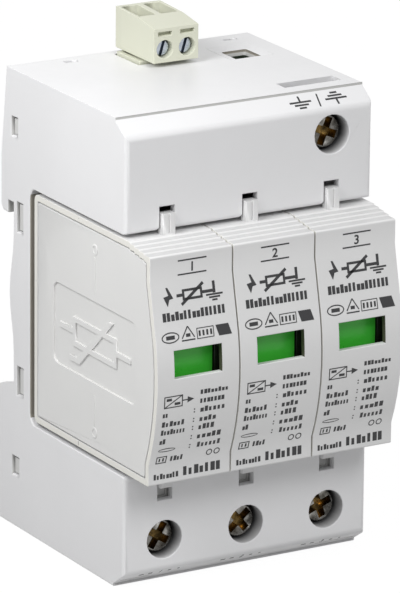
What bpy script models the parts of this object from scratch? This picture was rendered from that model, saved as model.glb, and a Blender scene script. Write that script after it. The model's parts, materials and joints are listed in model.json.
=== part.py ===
"""Pluggable surge arrester for a 35 mm DIN rail: a base with three plug-in varistor modules.

Lengths are millimetres until they reach a mesh, where MM turns them into metres. X runs along the
rail, Z runs up, and Y runs from the front to the rail. Most places are given by their depth, which
is the distance in front of the rearmost plane of the base. The origin is at the middle of the foot.
"""

import math

import bmesh
import bpy
from mathutils import Matrix

MM = 0.001

# Overall sizes of the base
PITCH = 17.5
MODULES = 3
WIDTH = PITCH * MODULES
HEIGHT = 90.0
TERMINAL_DEPTH = 48.1
WALL = 1.6
SIDE_WALL = 1.5
CLEAR = 0.3
# A cutter reaches past a wall by OVERCUT, and joined shapes overlap by JOIN
OVERCUT = 1.0
JOIN = 0.4

# The bay that the modules stand in
BAY_BOTTOM = 22.3
BAY_TOP = 68.6
BAY_DEPTH = 12.2
BAY_RADIUS = 2.0

# Chamfers along the front edges, each with a small riser behind it for the marking
CHAMFER_DEPTH = 3.8
CHAMFER_HEIGHT = 3.0
CHAMFER_RISER = 0.5
FRONT_ROUND = 1.0
# Keeps the wall as thick along the chamfers as elsewhere
CHAMFER_INSET = 0.64

# Rail side
RAIL_HEIGHT = 35.0
RAIL_CLEAR = 0.4
RAIL_BOTTOM = 28.6
RAIL_TOP = RAIL_BOTTOM + RAIL_HEIGHT + RAIL_CLEAR
RAIL_SEAT = 5.5
HOOK_BACK = 0.7
HOOK_FRONT = 3.6
HOOK_LIP = 2.4
HOOK_ROUND = 1.6
TOP_BACK = 2.9
SLANT_START = 72.3
STEP_DROP = 1.6
STEP_ROUND = 0.6
CREST_DEPTH = 3.9
CREST_HALF = 11.5
CREST_STEPS = 8

# Screw terminals
SCREW_HOLE_RADIUS = 3.7
WELL_WALL = 1.0
WELL_LENGTH = 5.5
CHAMBER_WALL = 1.2
LINE_SCREW_HEIGHT = 8.9
EARTH_SCREW_HEIGHT = 82.0
EARTH_X = PITCH
WIRE_HOLE_WIDTH = 9.2
WIRE_HOLE_BACK = 9.7
WIRE_HOLE_FRONT = 19.2
LABEL_SLOT_HALF = 6.1
LABEL_SLOT_BACK = 38.0
LABEL_SLOT_FRONT = 41.2
HEAD_RADIUS = 3.3
HEAD_THICKNESS = 2.4
HEAD_SUNK = 2.7
SHANK_RADIUS = 2.4
THREAD_CLEAR = 0.25
CROSS_ARM = 1.3
CROSS_DEPTH = 1.5
CROSS_LENGTH = 4.9

CAGE_WIDTH = 10.6
CAGE_SIDE = 1.2
CAGE_HEIGHT = 8.0
CAGE_BACK = 7.2
CAGE_BACK_WALL = 2.0
CAGE_FRONT_WALL = 2.6
BAR_BACK = 19.6
BAR_THICKNESS = 2.0
BAR_CLEAR = 0.4

# Contact strips behind the bay
CLIP_DEPTH = 7.8
CLIP_THICKNESS = 2.0
LEAF_THICKNESS = 0.8
STRIP_WIDTH = 5.8
STRIP_THICKNESS = 1.8
STRIP_GAP = 0.7
CLIP_OVER_BLADE = 1.0
COMB_OVER_BLADE = 1.7
COMB_INSET = 5.75
BLADE_SLOT_SIDE = 0.5
BLADE_SLOT_END = 0.6
NOSE_CLEAR = 0.4

# Plug-in modules
MODULE_GAP = 0.3
MODULE_WIDTH = PITCH - MODULE_GAP
MODULE_BACK = 13.6
MODULE_BOTTOM = 23.2
MODULE_TOP = 67.9
MODULE_FACE = 56.9
BULGE_DEPTH = 60.0
BULGE_LOW = 27.3
BULGE_CREST = 43.5
BULGE_TANGENT = 51.0
BULGE_HIGH = 62.1
GRIP_STEPS = 4
GRIP_BACK = 49.4
GRIP_STEP_DEPTH = 1.7
GRIP_STEP_DROP = 0.26
GRIP_SLOPE = 0.15
BULGE_STEPS = 8
MODULE_CORNER = 1.2
FACE_CORNER = 0.4
MODULE_WALL = 1.2
PLATE_CLEAR = 0.25
TAB_WIDTH = 2.6
TAB_GROOVE_HALF = 0.2
TAB_GROOVE_DEEP = 0.3
TAB_ROOT = 0.8
TAB_BACK = 47.0
TAB_FRONT = 49.0
TAB_REACH = 4.0
LOWER_TAB_REACH = 3.3
SLOT_WIDTH = 3.1
SLOT_BACK_CLEAR = 0.8
# How much wider the slot's mouth is on each side, and how far from the bay's edge
SLOT_MOUTH = ((1.2, -0.6), (0.3, 0.2), (0.0, 0.9))
SLOT_HEIGHT = 4.5
LOWER_SLOT_HEIGHT = 5.6

WINDOW_WIDTH = 10.0
WINDOW_BOTTOM = 44.2
WINDOW_TOP = 49.4
FLAG_BACK = 55.2
FLAG_THICKNESS = 1.0
FLAG_LEFT = -6.3
FLAG_RIGHT = 5.1
FLAG_TRAVEL = 6.8
FLAG_OVER_WINDOW = 1.4
FLAG_UNDER_WINDOW = 1.0
FLAG_TAIL_HALF = 1.5
FLAG_TAIL_THICKNESS = 1.2
RIB_THICKNESS = 1.0
RIB_BOTTOM = 34.0
RIB_TOP = 59.0

BLADE_THICKNESS = 1.2
BLADE_HEIGHT = 6.0
BLADE_TIP = 8.1
BLADE_ROOT = 16.4
UPPER_BLADE = 61.5
LOWER_BLADE = 29.5
DISC_RADIUS = 14.0
DISC_THICKNESS = 7.0
DISC_DEPTH = 31.5
DISC_HEIGHT = 43.5
TONGUE_SHORT = 1.5
TONGUE_RISE = 3.0
TONGUE_LOW = 1.0

PIVOT_DEPTH = 21.0
PIVOT_HEIGHT = 62.6
PIVOT_RADIUS = 1.0
PIVOT_CLEAR = 0.25
PIVOT_OVER_ARM = 0.7
HUB_WALL = 1.3
ARM_CLEAR = 0.4
ARM_THICKNESS = 0.8
ARM_HALF_WIDTH = 1.6
ARM_END_DEPTH = 30.5
# The arm ends level with the window, where the flag's tail rests on it
ARM_UNDER_WINDOW_TOP = 1.4
ARM_END_HEIGHT = WINDOW_TOP - ARM_UNDER_WINDOW_TOP

# Side panel of a module
PANEL_BACK = 21.0
PANEL_FRONT = 52.0
PANEL_BOTTOM = 37.3
PANEL_TOP = 53.0
PANEL_SINK = 0.4
PANEL_CORNER = 1.6
RELIEF = 0.35
MARK_DEPTH = 36.7
MARK_RING_RADIUS = 1.1
MARK_LINE = 0.45
MARK_RELIEF = 0.1
# Height of each ring beside the panel, and the two ends of its line
MARKS = ((63.0, 54.6, 61.6), (27.7, 29.1, 35.0))
# Varistor sign on the panel: line width, half sizes of its box, ends of its leads and its stroke
SIGN_LINE = 1.1
SIGN_BOX = (8.2, 2.9)
SIGN_LEAD_SHORT = 2.2
SIGN_STROKE_REACH = 6.3
SIGN_STROKE_RISE = 5.4
SIGN_STROKE_FOOT = 3.2

# Remote signal connector
PLUG_X = 1.55
PLUG_WIDTH = 9.6
PLUG_BACK = 3.6
PLUG_FRONT = 18.1
PLUG_HEIGHT = 8.0
PLUG_SHOULDER = 12.4
PLUG_SHOULDER_DROP = 0.4
PLUG_FRONT_DROP = 1.3
POLE_PITCH = 4.8
HEADER_BACK = 5.3
HEADER_FRONT = 14.0
HEADER_WIDTH = 11.0
HEADER_DEEP = 9.4
HEADER_RIM = 0.6
HEADER_WALL = 1.0
HEADER_GAP = 1.0
HEADER_FLOOR = 1.2
PIN_SIZE = 0.8
PIN_BACK = 8.1
PIN_BELOW_HEADER = 2.0
PIN_UNDER_TOP = 1.6
SMALL_SCREW_HEIGHT = 2.6
SMALL_HOLE_RADIUS = 1.75
SMALL_HEAD_RADIUS = 1.5
SMALL_HEAD_THICKNESS = 1.2
SMALL_HEAD_SUNK = 1.2
SMALL_SHANK_RADIUS = 0.85
SMALL_SLOT_HALF = 0.25
SMALL_SLOT_DEPTH = 0.6
SMALL_THREAD_CLEAR = 0.15
TEST_SLOT_HALF = 1.45
TEST_SLOT_TOP = 2.0
TEST_SLOT_BOTTOM = 2.75
TEST_SLOT_DEPTH = 1.0
FUNNEL_FRONT_WALL = 1.0
SMALL_CAGE_BACK = 4.9
SMALL_CAGE_WALL = 0.8
SMALL_CAGE_SIDE = 0.5
SMALL_CAGE_CLEAR = 0.25
SMALL_CAGE_FRONT_WALL = 1.2
SMALL_CAGE_WIDTH = 3.0
SMALL_CAGE_HEIGHT = 2.8
SMALL_TRAVEL = 2.25
TONGUE_BACK = 9.2
TONGUE_THICKNESS = 0.6
TONGUE_HALF = 0.5
TONGUE_SLIT_HALF = 0.85
TONGUE_FOOT = 3.0
TONGUE_HEAD = 1.2
SMALL_CAGE_GAP = 0.6

# Rail foot and its spring
FOOT_WIDTH = 15.2
FOOT_BACK = 0.7
FOOT_FRONT = 4.4
FOOT_BOTTOM = 0.5
FOOT_TOP = 30.4
CHANNEL_WALL = 1.5
POCKET_WIDTH = 4.6
POCKET_BOTTOM = 6.2
POCKET_TOP = 20.0
PEG_HEIGHT = 1.6
PEG_HALF = 1.6
NOSE_SUNK = 0.3
NOSE_THICKNESS = 0.9
FOOT_RAMP = 3.8
PULL_HALF = 2.6
PULL_LOW = 1.2
PULL_HIGH = 3.8
SPRING_RADIUS = 1.35
SPRING_WIRE = 0.22
SPRING_TURNS = 6

# Back frame, its cheeks and their snap tabs
FRAME_WALL = 1.7
FRAME_SUNK = 0.4
CHEEK = 1.2
CHEEK_FRONT = 9.9
SNAPS = ((5.0, 7.5, 77.1, 80.7), (7.0, 9.2, 58.8, 64.5), (7.1, 9.3, 26.6, 32.2), (5.1, 7.6, 10.3, 13.9))
SNAP_SUNK = 0.5
TOP_SNAPS = (-14.0, 20.5)
TOP_SNAP_HALF = 1.5
TOP_SNAP_BACK = 5.2
TOP_SNAP_FRONT = 6.4

# Signal slider and switch
SLIDER_BACK = 8.0
SLIDER_FRONT = 10.0
SLIDER_BOTTOM = 44.0
SLIDER_HEIGHT = 2.5
SLIDER_TRAVEL = 1.5
NOSE_OFFSET = 3.6
NOSE_WIDTH = 2.0
STEM_FROM_SIDE = 3.55
STEM_WIDTH = 1.8
STEM_LEFT = STEM_FROM_SIDE - WIDTH / 2
STEM_RIGHT = STEM_LEFT + STEM_WIDTH
NOSE_BACK_CLEAR = 0.4
STEM_GAP = 0.1
SWITCH_BOTTOM = 74.0
SWITCH_HEIGHT = 9.0
SWITCH_WIDTH = 10.0
SWITCH_BACK = 5.0
SWITCH_FRONT = 12.2
SWITCH_BESIDE_STEM = 0.2
SHAFT_HALF = 0.9
SHAFT_INSET = 0.1
SHAFT_DEEP = 3.2
BUTTON_HALF = 0.6
BUTTON_INSET = 0.4
BUTTON_DEEP = 1.4

ROUND_STEPS = 24
DISC_STEPS = 32
SMALL_STEPS = 16
CENTRES = [PITCH * (number - (MODULES - 1) / 2) for number in range(MODULES)]
INNER_HALF = WIDTH / 2 - SIDE_WALL
FAR = 20.0

COLOURS = {
    "housing_grey": ((0.79, 0.80, 0.80, 1), 0.45, 0.0),
    "frame_grey": ((0.72, 0.73, 0.72, 1), 0.5, 0.0),
    "module_grey": ((0.80, 0.80, 0.79, 1), 0.45, 0.0),
    "flag_green": ((0.05, 0.42, 0.06, 1), 0.4, 0.0),
    "connector_cream": ((0.72, 0.74, 0.62, 1), 0.45, 0.0),
    "screw_steel": ((0.50, 0.47, 0.40, 1), 0.3, 1.0),
    "zinc_steel": ((0.62, 0.64, 0.66, 1), 0.35, 1.0),
    "copper_strip": ((0.72, 0.52, 0.38, 1), 0.35, 1.0),
    "varistor_blue": ((0.06, 0.12, 0.30, 1), 0.4, 0.0),
    "switch_black": ((0.05, 0.05, 0.05, 1), 0.5, 0.0),
}


def clear_scene():
    for obj in list(bpy.data.objects):
        bpy.data.objects.remove(obj, do_unlink=True)


def new_collection(name):
    collection = bpy.data.collections.new(name)
    bpy.context.scene.collection.children.link(collection)
    return collection


def make_materials():
    made = {}
    for name, (colour, roughness, metallic) in COLOURS.items():
        material = bpy.data.materials.new(name)
        material.use_nodes = True
        shader = material.node_tree.nodes["Principled BSDF"]
        shader.inputs["Base Color"].default_value = colour
        shader.inputs["Roughness"].default_value = roughness
        shader.inputs["Metallic"].default_value = metallic
        material.diffuse_color = colour
        made[name] = material
    return made


def at_depth(depth):
    """World y of a plane this far in front of the rearmost one."""
    return BULGE_DEPTH / 2 - depth


# Shapes. Each returns an object whose mesh is in metres, in the collection of helpers.


def mesh_object(name, mesh):
    obj = bpy.data.objects.new(name, mesh)
    HELPERS.objects.link(obj)
    obj.hide_render = True
    obj.display_type = "WIRE"
    return obj


def block(x_span, depth_span, z_span, name="block"):
    """A box between two x, two depths and two heights."""
    y_span = (at_depth(depth_span[1]), at_depth(depth_span[0]))
    spans = (x_span, y_span, z_span)
    centre = Matrix.Translation([MM * (low + high) / 2 for low, high in spans])
    size = Matrix.Diagonal([MM * (high - low) for low, high in spans] + [1.0])
    shape = bmesh.new()
    bmesh.ops.create_cube(shape, size=1.0, matrix=centre @ size)
    mesh = bpy.data.meshes.new(name)
    shape.to_mesh(mesh)
    shape.free()
    return mesh_object(name, mesh)


def rod(radius, depth_span, x, z, steps=ROUND_STEPS, name="rod"):
    """A cylinder that lies along Y."""
    length = depth_span[1] - depth_span[0]
    middle = at_depth(sum(depth_span) / 2)
    place = Matrix.Translation((MM * x, MM * middle, MM * z)) @ Matrix.Rotation(math.pi / 2, 4, "X")
    return cylinder(radius, length, place, steps, name)


def axle(radius, x_span, depth, z, steps=ROUND_STEPS, name="axle"):
    """A cylinder that lies along X."""
    place = Matrix.Translation((MM * sum(x_span) / 2, MM * at_depth(depth), MM * z))
    place = place @ Matrix.Rotation(math.pi / 2, 4, "Y")
    return cylinder(radius, x_span[1] - x_span[0], place, steps, name)


def cylinder(radius, length, place, steps, name):
    shape = bmesh.new()
    bmesh.ops.create_cone(
        shape,
        cap_ends=True,
        segments=steps,
        radius1=MM * radius,
        radius2=MM * radius,
        depth=MM * length,
        matrix=place,
    )
    mesh = bpy.data.meshes.new(name)
    shape.to_mesh(mesh)
    shape.free()
    return mesh_object(name, mesh)


def sheet(outline, half_thickness, place, name):
    """A flat outline made solid: a filled 2D curve with an extrusion, turned into a mesh."""
    curve = bpy.data.curves.new(name, "CURVE")
    curve.dimensions = "2D"
    curve.fill_mode = "BOTH"
    curve.extrude = MM * half_thickness
    spline = curve.splines.new("POLY")
    spline.points.add(len(outline) - 1)
    for point, (across, up) in zip(spline.points, outline):
        point.co = (MM * across, MM * up, 0.0, 1.0)
    spline.use_cyclic_u = True
    guide = bpy.data.objects.new(name, curve)
    HELPERS.objects.link(guide)
    guide.matrix_world = place
    bpy.context.view_layer.update()
    mesh = bpy.data.meshes.new_from_object(guide.evaluated_get(bpy.context.evaluated_depsgraph_get()))
    mesh.transform(guide.matrix_world)
    bpy.data.objects.remove(guide, do_unlink=True)
    shape = bmesh.new()
    shape.from_mesh(mesh)
    bmesh.ops.remove_doubles(shape, verts=shape.verts, dist=1e-6)
    bmesh.ops.recalc_face_normals(shape, faces=shape.faces)
    bmesh.ops.dissolve_limit(shape, angle_limit=0.01, verts=shape.verts, edges=shape.edges)
    shape.to_mesh(mesh)
    shape.free()
    return mesh_object(name, mesh)


def profile(outline, x_span, name="profile"):
    """An outline of (depth, height) points, made solid between two x."""
    half = (x_span[1] - x_span[0]) / 2
    place = Matrix.Translation((MM * sum(x_span) / 2, MM * at_depth(0), 0.0))
    turn = Matrix(((0, 0, 1, 0), (-1, 0, 0, 0), (0, 1, 0, 0), (0, 0, 0, 1)))
    return sheet(outline, half, place @ turn, name)


def front_profile(outline, depth_span, name="front_profile"):
    """An outline of (x, height) points, made solid between two depths."""
    half = (depth_span[1] - depth_span[0]) / 2
    place = Matrix.Translation((0.0, MM * at_depth(sum(depth_span) / 2), 0.0))
    turn = Matrix(((1, 0, 0, 0), (0, 0, -1, 0), (0, 1, 0, 0), (0, 0, 0, 1)))
    return sheet(outline, half, place @ turn, name)


def rounded(points, steps=4):
    """An outline whose corners given as (a, b, radius) are replaced by arcs."""
    made = []
    count = len(points)
    for index, point in enumerate(points):
        if len(point) == 2 or point[2] == 0:
            made.append(tuple(point[:2]))
            continue
        made.extend(corner_arc(points[index - 1][:2], point, points[(index + 1) % count][:2], steps))
    return made


def corner_arc(before, corner, after, steps):
    corner_a, corner_b, radius = corner
    towards = []
    for neighbour in (before, after):
        run = (neighbour[0] - corner_a, neighbour[1] - corner_b)
        length = math.hypot(*run)
        towards.append((run[0] / length, run[1] / length))
    dot = towards[0][0] * towards[1][0] + towards[0][1] * towards[1][1]
    half = math.acos(max(-1.0, min(1.0, dot))) / 2
    reach = radius / math.tan(half)
    middle = (towards[0][0] + towards[1][0], towards[0][1] + towards[1][1])
    scale = radius / math.sin(half) / math.hypot(*middle)
    centre = (corner_a + middle[0] * scale, corner_b + middle[1] * scale)
    ends = [(corner_a + way[0] * reach, corner_b + way[1] * reach) for way in towards]
    first, last = [math.atan2(end[1] - centre[1], end[0] - centre[0]) for end in ends]
    sweep = (last - first + math.pi) % (2 * math.pi) - math.pi
    angles = [first + sweep * step / steps for step in range(steps + 1)]
    return [(centre[0] + radius * math.cos(turn), centre[1] + radius * math.sin(turn)) for turn in angles]


# Joining, cutting and finishing


def combine(obj, operation, others):
    for other in others:
        modifier = obj.modifiers.new(operation.lower(), "BOOLEAN")
        modifier.operation = operation
        modifier.solver = "EXACT"
        modifier.object = other
    return obj


def join(obj, *others):
    return combine(obj, "UNION", others)


def cut(obj, *others):
    return combine(obj, "DIFFERENCE", others)


def baked(obj):
    """The object with its modifiers applied to its mesh."""
    bpy.context.view_layer.update()
    graph = bpy.context.evaluated_depsgraph_get()
    mesh = bpy.data.meshes.new_from_object(obj.evaluated_get(graph))
    obj.modifiers.clear()
    obj.data = mesh
    return obj


def part(name, obj, material, parent=None):
    """Makes a finished shape one of the arrester's pieces."""
    if obj.modifiers:
        baked(obj)
    obj.name = name
    obj.data.name = name
    obj.data.materials.clear()
    obj.data.materials.append(MATERIALS[material])
    HELPERS.objects.unlink(obj)
    PARTS.objects.link(obj)
    obj.hide_render = False
    obj.display_type = "TEXTURED"
    if parent is not None:
        obj.parent = parent
    return obj


def pivot(name, x=0.0, depth=0.0, z=0.0):
    """An empty on a joint's axis, for the pieces that move there."""
    empty = bpy.data.objects.new(name, None)
    empty.location = (MM * x, MM * at_depth(depth), MM * z)
    PARTS.objects.link(empty)
    return empty


def hang(obj, empty):
    """Parents a piece to an empty and leaves the piece where it is."""
    bpy.context.view_layer.update()
    obj.parent = empty
    obj.matrix_parent_inverse = empty.matrix_world.inverted()
    return obj


# Base


def crest(back):
    """The swelling of the rail side between the rail's two flanges."""
    middle = (RAIL_BOTTOM + RAIL_TOP) / 2
    swell = RAIL_SEAT - CREST_DEPTH
    made = []
    for step in range(CREST_STEPS + 1):
        angle = math.pi * (step / CREST_STEPS - 0.5)
        rise = 0.5 + 0.5 * math.cos(2 * angle)
        made.append((back - swell * rise, middle + CREST_HALF * 2 * angle / math.pi))
    return made


def side_outline():
    """The base seen from the side, as (depth, height) points."""
    half_step = RAIL_BOTTOM - STEP_DROP
    return rounded(
        [
            (0.0, 0.0),
            (0.0, half_step, STEP_ROUND),
            (RAIL_SEAT, RAIL_BOTTOM),
            *crest(RAIL_SEAT),
            (RAIL_SEAT, RAIL_TOP),
            (HOOK_FRONT, RAIL_TOP),
            (HOOK_FRONT, RAIL_TOP - HOOK_LIP),
            (HOOK_BACK, RAIL_TOP - HOOK_LIP, HOOK_ROUND),
            (HOOK_BACK, SLANT_START),
            (TOP_BACK, HEIGHT),
            (TERMINAL_DEPTH - CHAMFER_DEPTH, HEIGHT),
            (TERMINAL_DEPTH - CHAMFER_DEPTH, HEIGHT - CHAMFER_RISER),
            (TERMINAL_DEPTH, HEIGHT - CHAMFER_HEIGHT),
            (TERMINAL_DEPTH, BAY_TOP),
            (BAY_DEPTH, BAY_TOP, BAY_RADIUS),
            (BAY_DEPTH, BAY_BOTTOM, BAY_RADIUS),
            (TERMINAL_DEPTH, BAY_BOTTOM),
            (TERMINAL_DEPTH, CHAMFER_HEIGHT),
            (TERMINAL_DEPTH - CHAMFER_DEPTH, CHAMFER_RISER),
            (TERMINAL_DEPTH - CHAMFER_DEPTH, 0.0),
        ]
    )


def cavity_outline():
    """The hollow of the cover, open towards the rail."""
    front = TERMINAL_DEPTH - WALL
    chamfer_back = TERMINAL_DEPTH - CHAMFER_DEPTH - CHAMFER_INSET
    chamfer_top = CHAMFER_HEIGHT + CHAMFER_INSET
    floor_depth = BAY_DEPTH - WALL
    return [
        (-FAR, WALL),
        (chamfer_back, WALL),
        (front, chamfer_top),
        (front, BAY_BOTTOM - WALL),
        (floor_depth, BAY_BOTTOM - WALL),
        (floor_depth, BAY_TOP + WALL),
        (front, BAY_TOP + WALL),
        (front, HEIGHT - chamfer_top),
        (chamfer_back, HEIGHT - WALL),
        (-FAR, HEIGHT - WALL),
    ]


def top_wall():
    """Span of heights that passes through the top wall."""
    return (HEIGHT - WALL - OVERCUT, HEIGHT + OVERCUT)


def latch_slot(centre, edge, height, way):
    """Cutter for the slot of a module's latch tab, widened where it leaves the edge of the bay."""
    half = SLOT_WIDTH / 2
    mouth = [(half + wider, up) for wider, up in SLOT_MOUTH]
    left = [(centre - across, edge + way * up) for across, up in mouth]
    right = [(centre + across, edge + way * up) for across, up in reversed(mouth)]
    outline = left + [(centre - half, edge + way * height), (centre + half, edge + way * height)] + right
    return front_profile(outline, (TAB_BACK - SLOT_BACK_CLEAR, TERMINAL_DEPTH + OVERCUT), "latch_slot")


def screw_places():
    """Name, x and height of each screw terminal."""
    places = [(str(number + 1), centre, LINE_SCREW_HEIGHT) for number, centre in enumerate(CENTRES)]
    return places + [("earth", EARTH_X, EARTH_SCREW_HEIGHT)]


def base_cover():
    cover = profile(side_outline(), (-WIDTH / 2, WIDTH / 2), "base_cover")
    round_front_edges(cover)
    inside = profile(cavity_outline(), (-INNER_HALF, INNER_HALF), "cavity")
    cut(cover, inside)
    well_back = TERMINAL_DEPTH - WALL - WELL_LENGTH
    well_radius = SCREW_HOLE_RADIUS + WELL_WALL
    wells = [rod(well_radius, (well_back, TERMINAL_DEPTH - WALL / 2), x, z) for _, x, z in screw_places()]
    join(cover, *wells, *chamber_walls())
    hole_reach = (well_back - OVERCUT, TERMINAL_DEPTH + OVERCUT)
    cutters = [rod(SCREW_HOLE_RADIUS, hole_reach, x, z) for _, x, z in screw_places()]
    half_wire = WIRE_HOLE_WIDTH / 2
    wire_depth = (WIRE_HOLE_BACK, WIRE_HOLE_FRONT)
    for centre in CENTRES:
        wire_span = (centre - half_wire, centre + half_wire)
        cutters.append(block(wire_span, wire_depth, (-OVERCUT, WALL + OVERCUT)))
        cutters.append(latch_slot(centre, BAY_TOP, SLOT_HEIGHT, 1))
        cutters.append(latch_slot(centre, BAY_BOTTOM, LOWER_SLOT_HEIGHT, -1))
        cutters += bay_wall_slots(centre)
    cutters.append(block((EARTH_X - half_wire, EARTH_X + half_wire), wire_depth, top_wall()))
    cutters += [label_slot(), header_hole(), foot_notch(), *snap_windows()]
    return part("base_cover", cut(cover, *cutters), "housing_grey")


def round_front_edges(cover):
    """Rounds the upright edges between the front faces and the sides."""
    shape = bmesh.new()
    shape.from_mesh(cover.data)
    near = 1e-5
    front_y = MM * at_depth(TERMINAL_DEPTH)
    side_x = MM * WIDTH / 2
    found = []
    for edge in shape.edges:
        on_front = all(abs(vert.co.y - front_y) < near for vert in edge.verts)
        on_side = all(abs(abs(vert.co.x) - side_x) < near for vert in edge.verts)
        if on_front and on_side:
            found.append(edge)
    bmesh.ops.bevel(shape, geom=found, offset=MM * FRONT_ROUND, segments=3, profile=0.5, affect="EDGES")
    shape.to_mesh(cover.data)
    shape.free()


def chamber_walls():
    """Partitions between the terminals, and the rib that keeps the earth terminal apart."""
    front = TERMINAL_DEPTH - WALL / 2
    corner = TERMINAL_DEPTH - CHAMFER_DEPTH - WALL / 2
    low = WALL / 2
    lower_end = BAY_BOTTOM - WALL / 2
    upper_end = HEIGHT - BAY_TOP - WALL / 2
    lower = [(CHEEK_FRONT, low), (corner, low), (front, CHAMFER_HEIGHT + WALL / 2)]
    lower += [(front, lower_end), (CHEEK_FRONT, lower_end)]
    back = HEADER_FRONT + HEADER_GAP
    upper = [(back, low), (corner, low), (front, CHAMFER_HEIGHT + WALL / 2)]
    upper += [(front, upper_end), (back, upper_end)]
    upper = [(depth, HEIGHT - z) for depth, z in upper]
    places = [(lower, (left + right) / 2) for left, right in zip(CENTRES, CENTRES[1:])]
    places.append((upper, EARTH_X - PITCH / 2))
    half = CHAMBER_WALL / 2
    return [profile(outline, (middle - half, middle + half), "chamber_wall") for outline, middle in places]


def bay_wall_slots(centre):
    """Openings in the bay's rear wall for a module's blades and the slider's nose."""
    half = BLADE_THICKNESS / 2 + BLADE_SLOT_SIDE
    tall = BLADE_HEIGHT / 2 + BLADE_SLOT_END
    reach = (BAY_DEPTH - WALL - OVERCUT / 2, BAY_DEPTH + OVERCUT / 2)
    slots = [
        block((centre - half, centre + half), reach, (height - tall, height + tall))
        for height in (UPPER_BLADE, LOWER_BLADE)
    ]
    nose = centre + NOSE_OFFSET
    half = NOSE_WIDTH / 2 + NOSE_CLEAR
    top = SLIDER_BOTTOM + SLIDER_HEIGHT + SLIDER_TRAVEL + NOSE_CLEAR
    slots.append(block((nose - half, nose + half), reach, (SLIDER_BOTTOM - NOSE_CLEAR, top)))
    return slots


def label_slot():
    """The long slot in the top face in front of the earth terminal."""
    span = (EARTH_X - LABEL_SLOT_HALF, EARTH_X + LABEL_SLOT_HALF)
    return block(span, (LABEL_SLOT_BACK, LABEL_SLOT_FRONT), top_wall())


def foot_notch():
    """Way for the rail foot through the bottom wall."""
    half = FOOT_WIDTH / 2 + CLEAR
    return block((-half, half), (-OVERCUT, FOOT_FRONT + CLEAR), (-OVERCUT, WALL + OVERCUT))


def header_hole():
    half = HEADER_WIDTH / 2 + CLEAR
    span = (PLUG_X - half, PLUG_X + half)
    return block(span, (HEADER_BACK - CLEAR, HEADER_FRONT + CLEAR), top_wall())


def snap_windows():
    windows = []
    past_wall = SIDE_WALL + OVERCUT
    for back, front, low, high in SNAPS:
        windows += [
            block((side * WIDTH / 2 - past_wall, side * WIDTH / 2 + past_wall), (back, front), (low, high))
            for side in (-1, 1)
        ]
    for x in TOP_SNAPS:
        span = (x - TOP_SNAP_HALF, x + TOP_SNAP_HALF)
        windows.append(block(span, (TOP_SNAP_BACK, TOP_SNAP_FRONT), top_wall()))
    return windows


def frame_back():
    """The rear face of the back frame from its foot to its top, as (depth, height) points."""
    low = WALL + CLEAR
    high = HEIGHT - WALL - CLEAR
    slope = (TOP_BACK - HOOK_BACK) / (HEIGHT - SLANT_START)
    back_low = FRAME_SUNK
    back_high = HOOK_BACK + FRAME_SUNK
    return [
        (back_low, low),
        (back_low, RAIL_BOTTOM - STEP_DROP - FRAME_SUNK),
        (RAIL_SEAT, RAIL_BOTTOM),
        *crest(RAIL_SEAT),
        (RAIL_SEAT, RAIL_TOP),
        (HOOK_FRONT, RAIL_TOP),
        (HOOK_FRONT, RAIL_TOP - HOOK_LIP),
        (back_high, RAIL_TOP - HOOK_LIP + FRAME_SUNK),
        (back_high, SLANT_START),
        (back_high + slope * (high - SLANT_START), high),
    ]


def frame_hollow():
    """The space between the frame's cheeks, open towards the front."""
    back = frame_back()
    low = back[0][0] + FRAME_WALL
    seat = RAIL_SEAT + FRAME_WALL
    step = RAIL_BOTTOM - STEP_DROP - FRAME_WALL
    high = back[-2][0] + FRAME_WALL
    return [
        (low, -OVERCUT),
        (low, step),
        (seat, step + OVERCUT),
        (seat, RAIL_TOP + FRAME_WALL),
        (high, RAIL_TOP + FRAME_WALL),
        (high, SLANT_START),
        (back[-1][0] + FRAME_WALL, back[-1][1]),
        (back[-1][0] + FRAME_WALL, HEIGHT + OVERCUT),
        (CHEEK_FRONT + OVERCUT, HEIGHT + OVERCUT),
        (CHEEK_FRONT + OVERCUT, -OVERCUT),
    ]


def back_frame():
    half = INNER_HALF - CLEAR
    low = WALL + CLEAR
    outline = frame_back() + [(CHEEK_FRONT, HEIGHT - low), (CHEEK_FRONT, low)]
    frame = profile(outline, (-half, half), "back_frame")
    cut(frame, profile(frame_hollow(), (CHEEK - half, half - CHEEK), "frame_hollow"))
    channel = FOOT_WIDTH / 2 + CLEAR
    outer = channel + CHANNEL_WALL
    floor_depth = FOOT_FRONT + CLEAR
    top = RAIL_BOTTOM - STEP_DROP - 2 * FRAME_SUNK
    body = block((-outer, outer), (FRAME_WALL, floor_depth + CHANNEL_WALL), (low + JOIN / 2, top), "channel")
    join(frame, body)
    cut(frame, block((-channel, channel), (-FAR, floor_depth), (-OVERCUT, FOOT_TOP + OVERCUT), "groove"))
    peg_bottom = POCKET_BOTTOM + CLEAR
    peg_reach = (FRAME_WALL, floor_depth + JOIN)
    peg = block((-PEG_HALF, PEG_HALF), peg_reach, (peg_bottom, peg_bottom + PEG_HEIGHT), "peg")
    return part("back_frame", join(frame, peg, *snap_tabs(half)), "frame_grey")


def snap_tabs(half):
    """Tabs that stand out of the frame's cheeks into the windows of the cover's side walls."""
    tabs = []
    for side in (-1, 1):
        reach = sorted((side * (WIDTH / 2 - SNAP_SUNK), side * (half - CHEEK / 2)))
        for back, front, low, high in SNAPS:
            tabs.append(block(reach, (back + CLEAR, front - CLEAR), (low + CLEAR, high - CLEAR), "snap_tab"))
    return tabs


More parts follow.
